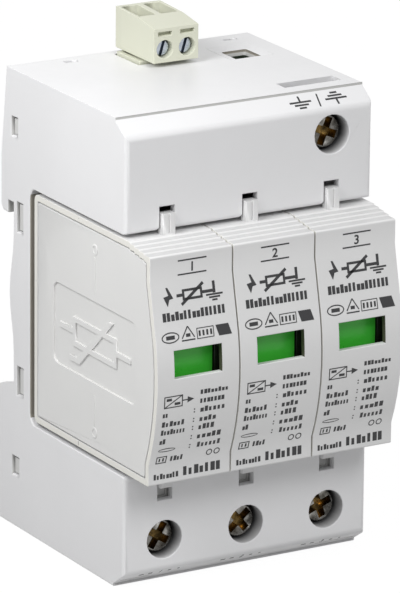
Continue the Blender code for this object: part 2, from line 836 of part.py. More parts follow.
def rail_foot():
    nose_front = FOOT_FRONT - NOSE_SUNK
    outline = [
        (FOOT_BACK, FOOT_BOTTOM),
        (FOOT_FRONT, FOOT_BOTTOM),
        (FOOT_FRONT, RAIL_BOTTOM - STEP_DROP),
        (nose_front, RAIL_BOTTOM - STEP_DROP),
        (nose_front, FOOT_TOP),
        (nose_front - NOSE_THICKNESS, FOOT_TOP),
        (FOOT_BACK, FOOT_TOP - FOOT_RAMP),
    ]
    half = FOOT_WIDTH / 2
    foot = profile(outline, (-half, half), "rail_foot")
    through = (FOOT_BACK - OVERCUT, FOOT_FRONT + OVERCUT)
    pocket = block((-POCKET_WIDTH / 2, POCKET_WIDTH / 2), through, (POCKET_BOTTOM, POCKET_TOP), "pocket")
    pull_span = (FOOT_BOTTOM + PULL_LOW, FOOT_BOTTOM + PULL_HIGH)
    pull_slot = block((-PULL_HALF, PULL_HALF), through, pull_span, "pull_slot")
    foot = part("rail_foot", cut(foot, pocket, pull_slot), "frame_grey")
    hang(foot, pivot("rail_foot_axis", 0.0, FOOT_FRONT, FOOT_BOTTOM))
    return foot


def foot_spring():
    """Compression spring between the frame's peg and the top of the foot's pocket."""
    low = POCKET_BOTTOM + CLEAR + PEG_HEIGHT + CLEAR + SPRING_WIRE
    high = POCKET_TOP - CLEAR - SPRING_WIRE
    depth = FOOT_FRONT - SPRING_RADIUS - SPRING_WIRE
    per_turn = 12
    count = SPRING_TURNS * per_turn + 1
    curve = bpy.data.curves.new("foot_spring", "CURVE")
    curve.dimensions = "3D"
    curve.bevel_depth = MM * SPRING_WIRE
    curve.bevel_resolution = 2
    curve.use_fill_caps = True
    spline = curve.splines.new("POLY")
    spline.points.add(count - 1)
    for index, point in enumerate(spline.points):
        angle = 2 * math.pi * index / per_turn
        x = SPRING_RADIUS * math.cos(angle)
        y = at_depth(depth) + SPRING_RADIUS * math.sin(angle)
        point.co = (MM * x, MM * y, MM * (low + (high - low) * index / (count - 1)), 1.0)
    curve.materials.append(MATERIALS["zinc_steel"])
    spring = bpy.data.objects.new("foot_spring", curve)
    PARTS.objects.link(spring)
    return spring


# Terminals


def terminal_screw(name, x, z):
    """Screw with a cross and slot in its head, standing on the busbar."""
    head_front = TERMINAL_DEPTH - HEAD_SUNK
    head_back = head_front - HEAD_THICKNESS
    tip = BAR_BACK + BAR_THICKNESS + BAR_CLEAR
    screw = rod(HEAD_RADIUS, (head_back, head_front), x, z)
    shank = rod(SHANK_RADIUS, (tip, head_back + JOIN), x, z)
    reach = (head_front - CROSS_DEPTH, head_front + OVERCUT)
    arm = CROSS_ARM / 2
    length = CROSS_LENGTH / 2
    upright = block((x - arm, x + arm), reach, (z - length, z + length))
    level = block((x - length, x + length), reach, (z - arm, z + arm))
    screw = part(f"terminal_screw_{name}", cut(join(screw, shank), upright, level), "screw_steel")
    hang(screw, pivot(f"terminal_screw_{name}_axis", x, head_front, z))
    return screw


def clamp_cage(name, x, z):
    """Box clamp that the screw draws forward, with the wire's space behind the busbar."""
    front = cage_front()
    half = CAGE_WIDTH / 2
    tall = (z - CAGE_HEIGHT / 2, z + CAGE_HEIGHT / 2)
    cage = block((x - half, x + half), (CAGE_BACK, front), tall)
    inner = half - CAGE_SIDE
    room = (CAGE_BACK + CAGE_BACK_WALL, front - CAGE_FRONT_WALL)
    opening = block((x - inner, x + inner), room, (tall[0] - OVERCUT, tall[1] + OVERCUT))
    thread_reach = (front - CAGE_FRONT_WALL - OVERCUT, front + OVERCUT)
    thread = rod(SHANK_RADIUS + THREAD_CLEAR, thread_reach, x, z)
    cage = part(f"clamp_cage_{name}", cut(cage, opening, thread), "zinc_steel")
    hang(cage, pivot(f"clamp_cage_{name}_axis", x, front, z))
    return cage


def cage_front():
    return BAR_BACK + BAR_THICKNESS + BAR_CLEAR + CAGE_FRONT_WALL


def clip_leaves(centre, low, high):
    """Two leaves of a contact clip, either side of a module's blade."""
    near = BLADE_THICKNESS / 2 + CLEAR
    far = near + LEAF_THICKNESS
    reach = (CLIP_DEPTH, CLIP_DEPTH + CLIP_THICKNESS)
    return [
        block(sorted((centre + side * near, centre + side * far)), reach, (low, high)) for side in (-1, 1)
    ]


def line_contact(name, centre):
    """One bent strip: terminal bar, run below the bay and clip for the lower blade."""
    half = STRIP_WIDTH / 2
    span = (centre - half, centre + half)
    bar_front = BAR_BACK + BAR_THICKNESS
    clip_front = CLIP_DEPTH + CLIP_THICKNESS
    run_top = BAY_BOTTOM - WALL - STRIP_GAP
    run_bottom = run_top - STRIP_THICKNESS
    web_top = LOWER_BLADE - BLADE_HEIGHT / 2 - CLIP_OVER_BLADE
    bar = block(span, (BAR_BACK, bar_front), (WALL + STRIP_GAP, run_top))
    run = block(span, (CLIP_DEPTH, bar_front), (run_bottom, run_top))
    web = block(span, (CLIP_DEPTH, clip_front), (run_bottom, web_top))
    leaves = clip_leaves(centre, web_top - JOIN, LOWER_BLADE + BLADE_HEIGHT / 2 + CLIP_OVER_BLADE)
    return part(f"line_contact_{name}", join(bar, run, web, *leaves), "copper_strip")


def earth_busbar():
    """Comb that joins the upper blades of all modules to the earth terminal."""
    clip_front = CLIP_DEPTH + CLIP_THICKNESS
    half = STRIP_WIDTH / 2
    comb_bottom = UPPER_BLADE + BLADE_HEIGHT / 2 + COMB_OVER_BLADE
    comb_top = BAY_TOP + WALL
    comb_half = WIDTH / 2 - COMB_INSET
    comb = block((-comb_half, comb_half), (CLIP_DEPTH, clip_front), (comb_bottom, comb_top))
    span = (EARTH_X - half, EARTH_X + half)
    run_bottom = comb_top + STRIP_GAP
    run_top = run_bottom + STRIP_THICKNESS
    bar_front = BAR_BACK + BAR_THICKNESS
    neck = block(span, (CLIP_DEPTH, clip_front), (comb_bottom, run_top))
    run = block(span, (CLIP_DEPTH, bar_front), (run_bottom, run_top))
    bar = block(span, (BAR_BACK, bar_front), (run_bottom, HEIGHT - WALL - STRIP_GAP))
    leaves = []
    for centre in CENTRES:
        leaves += clip_leaves(centre, UPPER_BLADE - BLADE_HEIGHT / 2 - CLIP_OVER_BLADE, comb_bottom + JOIN)
    return part("earth_busbar", join(comb, neck, run, bar, *leaves), "copper_strip")


# Plug-in modules


def module_outline(inset=0.0):
    """A module seen from the side, shrunk by an inset. Its front swells around the window."""
    crest_depth = BULGE_DEPTH - inset
    face = MODULE_FACE - inset
    rise = BULGE_CREST - BULGE_LOW
    swell = BULGE_DEPTH - MODULE_FACE
    radius = (rise * rise + swell * swell) / (2 * swell)
    low = MODULE_BOTTOM + inset
    top = MODULE_TOP - inset
    back = MODULE_BACK + inset
    front_top = MODULE_TOP - GRIP_STEPS * GRIP_STEP_DROP - inset
    corner = max(FACE_CORNER / 2, MODULE_CORNER - inset)
    outline = [(back, low, corner), (back, top, corner)]
    for step in range(GRIP_STEPS):
        depth = GRIP_BACK + step * GRIP_STEP_DEPTH
        height = top - step * GRIP_STEP_DROP
        outline += [(depth, height), (depth + GRIP_SLOPE, height - GRIP_STEP_DROP)]
    outline += [(face, front_top, FACE_CORNER), (face, BULGE_HIGH)]
    for step in range(BULGE_STEPS + 1):
        height = BULGE_TANGENT - (BULGE_TANGENT - BULGE_LOW) * step / BULGE_STEPS
        drop = radius - math.sqrt(radius * radius - (height - BULGE_CREST) ** 2)
        outline.append((crest_depth - drop, height))
    outline += [(face, low, FACE_CORNER)]
    return rounded(outline, 3)


def module_shell():
    """Housing of a module, open on its left side for the side plate."""
    half = MODULE_WIDTH / 2
    shell = profile(module_outline(), (-half, half), "module_shell")
    inside = profile(module_outline(MODULE_WALL), (-half - OVERCUT, half - MODULE_WALL), "inside")
    tab = TAB_WIDTH / 2
    tab_reach = (TAB_BACK, TAB_FRONT)
    upper_tab = (MODULE_TOP - TAB_ROOT, MODULE_TOP + TAB_REACH)
    lower_tab = (MODULE_BOTTOM - LOWER_TAB_REACH, MODULE_BOTTOM + TAB_ROOT)
    tabs = [block((-tab, tab), tab_reach, tall, "tab") for tall in (upper_tab, lower_tab)]
    pin_left = arm_span()[0] - PIVOT_OVER_ARM
    pin = axle(PIVOT_RADIUS, (pin_left, half - MODULE_WALL / 2), PIVOT_DEPTH, PIVOT_HEIGHT, SMALL_STEPS)
    rib_left = FLAG_RIGHT + CLEAR
    rib_tall = (RIB_BOTTOM, RIB_TOP)
    rib_reach = (FLAG_BACK, MODULE_FACE - MODULE_WALL / 2)
    rib = block((rib_left, rib_left + RIB_THICKNESS), rib_reach, rib_tall, "rib")
    rib_foot = block((rib_left, half - JOIN), (FLAG_BACK, FLAG_BACK + RIB_THICKNESS), rib_tall, "rib_foot")
    window = block(
        (-WINDOW_WIDTH / 2, WINDOW_WIDTH / 2),
        (MODULE_FACE, BULGE_DEPTH + OVERCUT),
        (WINDOW_BOTTOM, WINDOW_TOP),
        "window",
    )
    groove_span = (-TAB_GROOVE_HALF, TAB_GROOVE_HALF)
    groove_reach = (TAB_FRONT - TAB_GROOVE_DEEP, TAB_FRONT + OVERCUT)
    cutters = [window, block(groove_span, groove_reach, (MODULE_TOP + JOIN, HEIGHT), "groove")]
    slit = BLADE_THICKNESS / 2 + CLEAR
    tall = BLADE_HEIGHT / 2 + CLEAR
    for height in (UPPER_BLADE, LOWER_BLADE):
        span = (height - tall, height + tall)
        reach = (MODULE_BACK - OVERCUT, MODULE_BACK + MODULE_WALL + OVERCUT / 2)
        cutters.append(block((-slit, slit), reach, span, "slit"))
    cut(shell, inside)
    join(shell, *tabs, pin, rib, rib_foot)
    return baked(cut(shell, *cutters))


def varistor_sign(x_span):
    """Raised general symbol of a varistor: a box on a line, crossed by a stroke."""
    middle_depth = (PANEL_BACK + PANEL_FRONT) / 2
    middle = (PANEL_BOTTOM + PANEL_TOP) / 2
    line = SIGN_LINE / 2
    box_back = middle_depth - SIGN_BOX[0]
    box_front = middle_depth + SIGN_BOX[0]
    box_low = middle - SIGN_BOX[1]
    box_high = middle + SIGN_BOX[1]
    outer = block(x_span, (box_back, box_front), (box_low, box_high))
    through = (x_span[0] - OVERCUT, x_span[1] + OVERCUT)
    room = ((box_back + SIGN_LINE, box_front - SIGN_LINE), (box_low + SIGN_LINE, box_high - SIGN_LINE))
    baked(cut(outer, block(through, *room)))
    lead_tall = (middle - line, middle + line)
    leads = [
        block(x_span, (PANEL_BACK + SIGN_LEAD_SHORT, box_back + line), lead_tall),
        block(x_span, (box_front - line, PANEL_FRONT - SIGN_LEAD_SHORT), lead_tall),
    ]
    low = middle - SIGN_STROKE_RISE
    back = middle_depth - SIGN_STROKE_REACH
    front = middle_depth + SIGN_STROKE_REACH
    stroke = [
        (back - SIGN_STROKE_FOOT, low - line),
        (back + line, low - line),
        (front + line, middle + SIGN_STROKE_RISE),
        (front - SIGN_LINE, middle + SIGN_STROKE_RISE),
        (back - line, low + line),
        (back - SIGN_STROKE_FOOT, low + line),
    ]
    return [outer, *leads, profile(stroke, x_span, "stroke")]


def side_plate():
    """Lid of a module's open side, with a sunk panel and the moulded marks above and below it."""
    outer = -MODULE_WIDTH / 2
    span = (outer, outer + MODULE_WALL)
    plate = profile(module_outline(MODULE_WALL + PLATE_CLEAR), span, "side_plate")
    panel = [
        (PANEL_BACK, PANEL_BOTTOM, PANEL_CORNER),
        (PANEL_BACK, PANEL_TOP, PANEL_CORNER),
        (PANEL_FRONT, PANEL_TOP, PANEL_CORNER),
        (PANEL_FRONT, PANEL_BOTTOM, PANEL_CORNER),
    ]
    sunk = profile(rounded(panel), (outer - OVERCUT, outer + PANEL_SINK), "panel")
    cut(plate, sunk)
    floor_x = outer + PANEL_SINK
    raised = varistor_sign((floor_x - RELIEF, floor_x + JOIN / 2))
    return baked(join(plate, *raised, *side_marks(outer)))


def side_marks(outer):
    """A small ring and a line above the panel, and the same below it."""
    half = MARK_LINE / 2
    proud = (outer - MARK_RELIEF, outer + JOIN / 2)
    through = (outer - OVERCUT, outer + OVERCUT)
    marks = []
    for ring_height, line_low, line_high in MARKS:
        ring = axle(MARK_RING_RADIUS, proud, MARK_DEPTH, ring_height, SMALL_STEPS)
        hollow = axle(MARK_RING_RADIUS - MARK_LINE, through, MARK_DEPTH, ring_height, SMALL_STEPS)
        marks.append(baked(cut(ring, hollow)))
        marks.append(block(proud, (MARK_DEPTH - half, MARK_DEPTH + half), (line_low, line_high)))
    return marks


def varistor():
    half = DISC_THICKNESS / 2
    return axle(DISC_RADIUS, (-half, half), DISC_DEPTH, DISC_HEIGHT, DISC_STEPS, "varistor")


def lower_blade():
    """Blade of the lower contact, bent to lie on the right face of the varistor."""
    half = BLADE_THICKNESS / 2
    tall = (LOWER_BLADE - BLADE_HEIGHT / 2, LOWER_BLADE + BLADE_HEIGHT / 2)
    face = DISC_THICKNESS / 2 + CLEAR
    blade = block((-half, half), (BLADE_TIP, BLADE_ROOT + BLADE_THICKNESS / 2), tall)
    crossing = block((-half, face + BLADE_THICKNESS), (BLADE_ROOT, BLADE_ROOT + BLADE_THICKNESS), tall)
    tongue_tall = (tall[0] + TONGUE_LOW, tall[1] + TONGUE_RISE)
    tongue = block((face, face + BLADE_THICKNESS), (BLADE_ROOT, DISC_DEPTH - TONGUE_SHORT), tongue_tall)
    return baked(join(blade, crossing, tongue))


def upper_blade():
    """Blade of the upper contact, bent towards the arm's pivot."""
    half = BLADE_THICKNESS / 2
    tall = (UPPER_BLADE - BLADE_HEIGHT / 2, UPPER_BLADE + BLADE_HEIGHT / 2)
    blade = block((-half, half), (BLADE_TIP, BLADE_ROOT + BLADE_THICKNESS / 2), tall)
    crossing = block((arm_span()[0] - CLEAR, half), (BLADE_ROOT, BLADE_ROOT + BLADE_THICKNESS), tall)
    return baked(join(blade, crossing))


def arm_span():
    near = -DISC_THICKNESS / 2 - ARM_CLEAR
    return (near - ARM_THICKNESS, near)


def disconnect_arm():
    """Spring arm that is soldered to the varistor and swings off it when the varistor overheats."""
    span = arm_span()
    hub = axle(PIVOT_RADIUS + HUB_WALL, span, PIVOT_DEPTH, PIVOT_HEIGHT)
    run = (ARM_END_DEPTH - PIVOT_DEPTH, ARM_END_HEIGHT - PIVOT_HEIGHT)
    length = math.hypot(*run)
    across = (-run[1] / length * ARM_HALF_WIDTH, run[0] / length * ARM_HALF_WIDTH)
    outline = [
        (PIVOT_DEPTH + across[0], PIVOT_HEIGHT + across[1]),
        (ARM_END_DEPTH + across[0], ARM_END_HEIGHT + across[1]),
        (ARM_END_DEPTH - across[0], ARM_END_HEIGHT - across[1]),
        (PIVOT_DEPTH - across[0], PIVOT_HEIGHT - across[1]),
    ]
    bar = profile(outline, span, "arm_bar")
    hole = axle(PIVOT_RADIUS + PIVOT_CLEAR, (span[0] - OVERCUT, span[1] + OVERCUT), PIVOT_DEPTH, PIVOT_HEIGHT)
    return baked(cut(join(hub, bar), hole))


def status_flag():
    """Flag behind the window: its green half shows, and its red half lies below."""
    top = WINDOW_TOP + FLAG_OVER_WINDOW
    bottom = WINDOW_BOTTOM - FLAG_UNDER_WINDOW - FLAG_TRAVEL
    face = block((FLAG_LEFT, FLAG_RIGHT), (FLAG_BACK, FLAG_BACK + FLAG_THICKNESS), (bottom, top))
    tail_right = arm_span()[0] - ARM_CLEAR
    tail_reach = (ARM_END_DEPTH + ARM_HALF_WIDTH + JOIN, FLAG_BACK + FLAG_THICKNESS / 2)
    tail_tall = (ARM_END_HEIGHT - FLAG_TAIL_HALF, ARM_END_HEIGHT + FLAG_TAIL_HALF)
    tail = block((tail_right - FLAG_TAIL_THICKNESS, tail_right), tail_reach, tail_tall)
    return baked(join(face, tail))


MODULE_PIECES = (
    ("shell", module_shell, "module_grey"),
    ("side_plate", side_plate, "module_grey"),
    ("varistor", varistor, "varistor_blue"),
    ("lower_blade", lower_blade, "copper_strip"),
    ("upper_blade", upper_blade, "copper_strip"),
    ("disconnect_arm", disconnect_arm, "copper_strip"),
    ("status_flag", status_flag, "flag_green"),
)


def modules():
    """Makes each piece once and gives every module its own object with that mesh."""
    patterns = [(name, make(), material) for name, make, material in MODULE_PIECES]
    for number, centre in enumerate(CENTRES):
        holder = pivot(f"module_{number + 1}_axis", 0.0, MODULE_BACK, (MODULE_BOTTOM + MODULE_TOP) / 2)
        for name, pattern, material in patterns:
            piece = mesh_object(name, pattern.data)
            piece.location.x = MM * centre
            piece = part(f"module_{number + 1}_{name}", piece, material)
            hang(piece, holder)


# Remote signal connector, slider and switch


def poles():
    return ((1, PLUG_X - POLE_PITCH / 2), (2, PLUG_X + POLE_PITCH / 2))


def header_top():
    return HEIGHT + HEADER_RIM


def signal_header():
    half = HEADER_WIDTH / 2
    span = (PLUG_X - half, PLUG_X + half)
    inner = (span[0] + HEADER_WALL, span[1] - HEADER_WALL)
    low = HEIGHT - HEADER_DEEP
    header = block(span, (HEADER_BACK, HEADER_FRONT), (low, header_top()))
    room = (HEADER_BACK + HEADER_WALL, HEADER_FRONT - HEADER_WALL)
    cutters = [block(inner, room, (low + HEADER_FLOOR, header_top() + OVERCUT))]
    half_pin = PIN_SIZE / 2 + CLEAR
    for _, x in poles():
        pin_room = (PIN_BACK - CLEAR, PIN_BACK + PIN_SIZE + CLEAR)
        pin_tall = (low - OVERCUT, low + HEADER_FLOOR + OVERCUT)
        cutters.append(block((x - half_pin, x + half_pin), pin_room, pin_tall))
    return part("signal_header", cut(header, *cutters), "connector_cream")


def signal_pin(number, x):
    half = PIN_SIZE / 2
    low = HEIGHT - HEADER_DEEP - PIN_BELOW_HEADER
    pin = block((x - half, x + half), (PIN_BACK, PIN_BACK + PIN_SIZE), (low, HEIGHT - PIN_UNDER_TOP))
    return part(f"signal_pin_{number}", pin, "zinc_steel")


def plug_bottom():
    return header_top() + CLEAR


def signal_plug():
    bottom = plug_bottom()
    top = bottom + PLUG_HEIGHT
    outline = [
        (PLUG_BACK, bottom),
        (PLUG_BACK, top),
        (PLUG_SHOULDER, top - PLUG_SHOULDER_DROP),
        (PLUG_FRONT, top - PLUG_FRONT_DROP),
        (PLUG_FRONT, bottom),
    ]
    half = PLUG_WIDTH / 2
    plug = profile(outline, (PLUG_X - half, PLUG_X + half), "signal_plug")
    foot_half = HEADER_WIDTH / 2 - HEADER_WALL - CLEAR
    foot_room = (HEADER_BACK + HEADER_WALL + CLEAR, HEADER_FRONT - HEADER_WALL - CLEAR)
    foot_low = HEIGHT - HEADER_DEEP + HEADER_FLOOR + CLEAR
    join(plug, block((PLUG_X - foot_half, PLUG_X + foot_half), foot_room, (foot_low, bottom + JOIN)))
    screw_z = bottom + SMALL_SCREW_HEIGHT
    chamber = SMALL_CAGE_WIDTH / 2 + SMALL_CAGE_CLEAR
    cage_travelled = small_cage_front() + SMALL_TRAVEL + CLEAR
    room = (SMALL_CAGE_BACK - CLEAR, cage_travelled)
    low = screw_z - SMALL_CAGE_HEIGHT / 2 - CLEAR
    high = screw_z + SMALL_CAGE_HEIGHT / 2 + CLEAR
    cutters = []
    for _, x in poles():
        span = (x - chamber, x + chamber)
        cutters.append(block(span, room, (low, high)))
        funnel = (room[0], PLUG_SHOULDER - FUNNEL_FRONT_WALL)
        cutters.append(block(span, funnel, (high - JOIN / 2, top + OVERCUT)))
        screw_reach = (cage_travelled - JOIN / 2, PLUG_FRONT + OVERCUT)
        cutters.append(rod(SMALL_HOLE_RADIUS, screw_reach, x, screw_z, SMALL_STEPS))
        slot = (x - TEST_SLOT_HALF, x + TEST_SLOT_HALF)
        slot_reach = (PLUG_FRONT - TEST_SLOT_DEPTH, PLUG_FRONT + OVERCUT)
        cutters.append(block(slot, slot_reach, (top - TEST_SLOT_BOTTOM, top - TEST_SLOT_TOP)))
        slit = (x - TONGUE_SLIT_HALF, x + TONGUE_SLIT_HALF)
        tongue_room = (PIN_BACK - CLEAR, TONGUE_BACK + TONGUE_THICKNESS + CLEAR)
        cutters.append(block(slit, tongue_room, (foot_low - OVERCUT, low + JOIN / 2)))
    return part("signal_plug", cut(plug, *cutters), "connector_cream")


def small_cage_front():
    return TONGUE_BACK + TONGUE_THICKNESS + SMALL_CAGE_GAP + SMALL_CAGE_FRONT_WALL


def signal_tongue(number, x):
    """Strip that the wire is clamped to, reaching down beside the header's pin."""
    tall = (HEIGHT - HEADER_DEEP + TONGUE_FOOT, plug_bottom() + SMALL_SCREW_HEIGHT + TONGUE_HEAD)
    reach = (TONGUE_BACK, TONGUE_BACK + TONGUE_THICKNESS)
    tongue = block((x - TONGUE_HALF, x + TONGUE_HALF), reach, tall)
    return part(f"signal_tongue_{number}", tongue, "copper_strip")


def signal_clamp(number, x):
    z = plug_bottom() + SMALL_SCREW_HEIGHT
    front = small_cage_front()
    half = SMALL_CAGE_WIDTH / 2
    tall = (z - SMALL_CAGE_HEIGHT / 2, z + SMALL_CAGE_HEIGHT / 2)
    cage = block((x - half, x + half), (SMALL_CAGE_BACK, front), tall)
    inner = half - SMALL_CAGE_SIDE
    room = (SMALL_CAGE_BACK + SMALL_CAGE_WALL, front - SMALL_CAGE_FRONT_WALL)
    opening = block((x - inner, x + inner), room, (tall[0] - OVERCUT, tall[1] + OVERCUT))
    thread_reach = (front - SMALL_CAGE_FRONT_WALL - OVERCUT, front + OVERCUT)
    thread = rod(SMALL_SHANK_RADIUS + SMALL_THREAD_CLEAR, thread_reach, x, z, SMALL_STEPS)
    cage = part(f"signal_clamp_{number}", cut(cage, opening, thread), "zinc_steel")
    hang(cage, pivot(f"signal_clamp_{number}_axis", x, front, z))
    return cage


def signal_screw(number, x):
    """Small slotted clamping screw."""
    z = plug_bottom() + SMALL_SCREW_HEIGHT
    front = PLUG_FRONT - SMALL_HEAD_SUNK
    back = front - SMALL_HEAD_THICKNESS
    head = rod(SMALL_HEAD_RADIUS, (back, front), x, z, SMALL_STEPS)
    tip = TONGUE_BACK + TONGUE_THICKNESS + CLEAR
    shank = rod(SMALL_SHANK_RADIUS, (tip, back + JOIN), x, z, SMALL_STEPS)
    slot_reach = (front - SMALL_SLOT_DEPTH, front + OVERCUT)
    slot_tall = (z - SMALL_HEAD_RADIUS - OVERCUT, z + SMALL_HEAD_RADIUS + OVERCUT)
    slot = block((x - SMALL_SLOT_HALF, x + SMALL_SLOT_HALF), slot_reach, slot_tall)
    screw = part(f"signal_screw_{number}", cut(join(head, shank), slot), "zinc_steel")
    hang(screw, pivot(f"signal_screw_{number}_axis", x, front, z))
    return screw


def stem_top():
    return SWITCH_BOTTOM - SLIDER_TRAVEL - STEM_GAP


def signal_slider():
    """Bar behind the modules that carries a tripped module's push up to the switch."""
    reach = (SLIDER_BACK, SLIDER_FRONT)
    tall = (SLIDER_BOTTOM, SLIDER_BOTTOM + SLIDER_HEIGHT)
    right = CENTRES[-1] + NOSE_OFFSET + NOSE_WIDTH / 2
    bar = block((STEM_LEFT, right), reach, tall)
    stem = block((STEM_LEFT, STEM_RIGHT), reach, (SLIDER_BOTTOM, stem_top()))
    noses = []
    for centre in CENTRES:
        nose = centre + NOSE_OFFSET - NOSE_WIDTH / 2
        nose_reach = (SLIDER_FRONT - JOIN, MODULE_BACK - NOSE_BACK_CLEAR)
        noses.append(block((nose, nose + NOSE_WIDTH), nose_reach, tall))
    slider = part("signal_slider", join(bar, stem, *noses), "connector_cream")
    hang(slider, pivot("signal_slider_axis", (STEM_LEFT + STEM_RIGHT) / 2, SLIDER_BACK, SLIDER_BOTTOM))
    return slider


def signal_switch():
    left = STEM_LEFT - SWITCH_BESIDE_STEM
    span = (left, left + SWITCH_WIDTH)
    body = block(span, (SWITCH_BACK, SWITCH_FRONT), (SWITCH_BOTTOM, SWITCH_BOTTOM + SWITCH_HEIGHT))
    middle = (STEM_LEFT + STEM_RIGHT) / 2
    shaft = block(
        (middle - SHAFT_HALF, middle + SHAFT_HALF),
        (SLIDER_BACK + SHAFT_INSET, SLIDER_FRONT - SHAFT_INSET),
        (SWITCH_BOTTOM - OVERCUT, SWITCH_BOTTOM + SHAFT_DEEP),
    )
    return part("signal_switch", cut(body, shaft), "switch_black")


def switch_button():
    middle = (STEM_LEFT + STEM_RIGHT) / 2
    low = stem_top() + CLEAR
    button = block(
        (middle - BUTTON_HALF, middle + BUTTON_HALF),
        (SLIDER_BACK + BUTTON_INSET, SLIDER_FRONT - BUTTON_INSET),
        (low, SWITCH_BOTTOM + BUTTON_DEEP),
    )
    button = part("switch_button", button, "connector_cream")
    hang(button, pivot("switch_button_axis", middle, (SLIDER_BACK + SLIDER_FRONT) / 2, low))
    return button


clear_scene()
PARTS = new_collection("surge_arrester")
HELPERS = new_collection("cutters")
MATERIALS = make_materials()

base_cover()
back_frame()
rail_foot()
foot_spring()
earth_busbar()
for number, centre in enumerate(CENTRES):
    line_contact(number + 1, centre)
for name, x, z in screw_places():
    terminal_screw(name, x, z)
    clamp_cage(name, x, z)
modules()
signal_header()
signal_plug()
for number, x in poles():
    signal_pin(number, x)
    signal_tongue(number, x)
    signal_clamp(number, x)
    signal_screw(number, x)
signal_slider()
signal_switch()
switch_button()
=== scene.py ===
import json
import math

import bmesh
import bpy
from mathutils import Matrix, Vector
from mathutils.geometry import delaunay_2d_cdt

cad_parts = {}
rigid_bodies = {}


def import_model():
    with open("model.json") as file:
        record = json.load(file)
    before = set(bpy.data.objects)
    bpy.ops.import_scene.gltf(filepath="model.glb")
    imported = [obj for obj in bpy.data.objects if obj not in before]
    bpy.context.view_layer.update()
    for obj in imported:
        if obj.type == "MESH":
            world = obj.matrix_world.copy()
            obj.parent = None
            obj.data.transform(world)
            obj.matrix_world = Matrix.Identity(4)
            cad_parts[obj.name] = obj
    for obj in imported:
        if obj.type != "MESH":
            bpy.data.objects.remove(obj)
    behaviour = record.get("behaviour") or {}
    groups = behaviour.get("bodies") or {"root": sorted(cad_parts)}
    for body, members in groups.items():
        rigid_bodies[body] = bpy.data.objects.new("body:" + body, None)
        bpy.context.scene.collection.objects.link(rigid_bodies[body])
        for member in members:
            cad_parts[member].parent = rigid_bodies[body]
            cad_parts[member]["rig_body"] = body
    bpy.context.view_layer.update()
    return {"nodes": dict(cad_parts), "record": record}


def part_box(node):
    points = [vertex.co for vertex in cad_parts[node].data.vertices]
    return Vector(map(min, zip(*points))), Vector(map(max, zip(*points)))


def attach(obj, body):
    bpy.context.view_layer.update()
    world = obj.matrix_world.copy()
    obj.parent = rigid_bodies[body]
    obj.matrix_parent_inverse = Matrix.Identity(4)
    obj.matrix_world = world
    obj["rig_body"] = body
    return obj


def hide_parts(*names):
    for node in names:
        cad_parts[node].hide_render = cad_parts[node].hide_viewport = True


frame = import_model()

# Driving dimensions, in millimetres

MM = 0.001
MODULES = ("1", "2", "3")
LINE_TERMINALS = ("1", "2", "3")
TERMINALS = LINE_TERMINALS + ("earth",)
POLES = ("1", "2")

COVER_LOW, COVER_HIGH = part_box("base_cover")
REAR = COVER_HIGH.y / MM
WIDTH = (COVER_HIGH.x - COVER_LOW.x) / MM
HEIGHT = COVER_HIGH.z / MM
TERMINAL_DEPTH = (COVER_HIGH.y - COVER_LOW.y) / MM
MODULE_WIDTH = (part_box("module_1_shell")[1].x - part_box("module_1_shell")[0].x) / MM


def at_depth(depth):
    """The y of a depth measured from the plane of the rail side, both in millimetres."""
    return REAR - depth


def middle(node):
    """The middle of a CAD node's box, in metres."""
    low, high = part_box(node)
    return (low + high) / 2


# Node trees

SOCKET_TYPES = {float: "Float", tuple: "Color"}
NOISE_LOW = 0.3
NOISE_HIGH = 0.7


class Nodes:
    """A node tree under construction."""

    def __init__(self, tree):
        self.tree = tree

    def add(self, kind, values=None, **settings):
        """A node with its settings, and with its inputs linked or set by name or number."""
        node = self.tree.nodes.new(kind)
        for label, value in settings.items():
            setattr(node, label, value)
        for label, value in (values or {}).items():
            self.feed(node.inputs[label], value)
        return node

    def feed(self, socket, value):
        """Sets a socket's value, or links it to another socket or to each one in a list."""
        for source in value if isinstance(value, list) else [value]:
            if isinstance(source, bpy.types.NodeSocket):
                self.tree.links.new(source, socket)
            else:
                socket.default_value = source

    def math(self, operation, first, second=0.0):
        return self.add("ShaderNodeMath", {0: first, 1: second}, operation=operation).outputs[0]

    def plus(self, first, second):
        return self.math("ADD", first, second)

    def minus(self, first, second):
        return self.math("SUBTRACT", first, second)

    def times(self, first, second):
        return self.math("MULTIPLY", first, second)

    def divided(self, first, second):
        return self.math("DIVIDE", first, second)

    def clamped(self, value):
        return self.add("ShaderNodeClamp", {"Value": value}).outputs[0]

    def vector_math(self, operation, values):
        return self.add("ShaderNodeVectorMath", values, operation=operation).outputs[0]

    def split(self, vector):
        """The X, Y and Z of a vector."""
        return self.add("ShaderNodeSeparateXYZ", {0: vector}).outputs

    def shaded_point(self):
        """The Object coordinates."""
        return self.add("ShaderNodeTexCoord").outputs["Object"]

    def noise(self, scale, detail=2.0):
        values = {"Vector": self.shaded_point(), "Scale": scale, "Detail": detail}
        return self.add("ShaderNodeTexNoise", values).outputs["Fac"]

    def spread(self, factor, low, high):
        """The usual range of a noise turned into low to high."""
        limits = {"From Min": NOISE_LOW, "From Max": NOISE_HIGH, "To Min": low, "To Max": high}
        return self.add("ShaderNodeMapRange", {"Value": factor, **limits}).outputs["Result"]

    def blend(self, factor, first, second):
        """A mix of two colours."""
        values = {"Factor": factor, 6: first, 7: second}
        return self.add("ShaderNodeMix", values, data_type="RGBA").outputs[2]


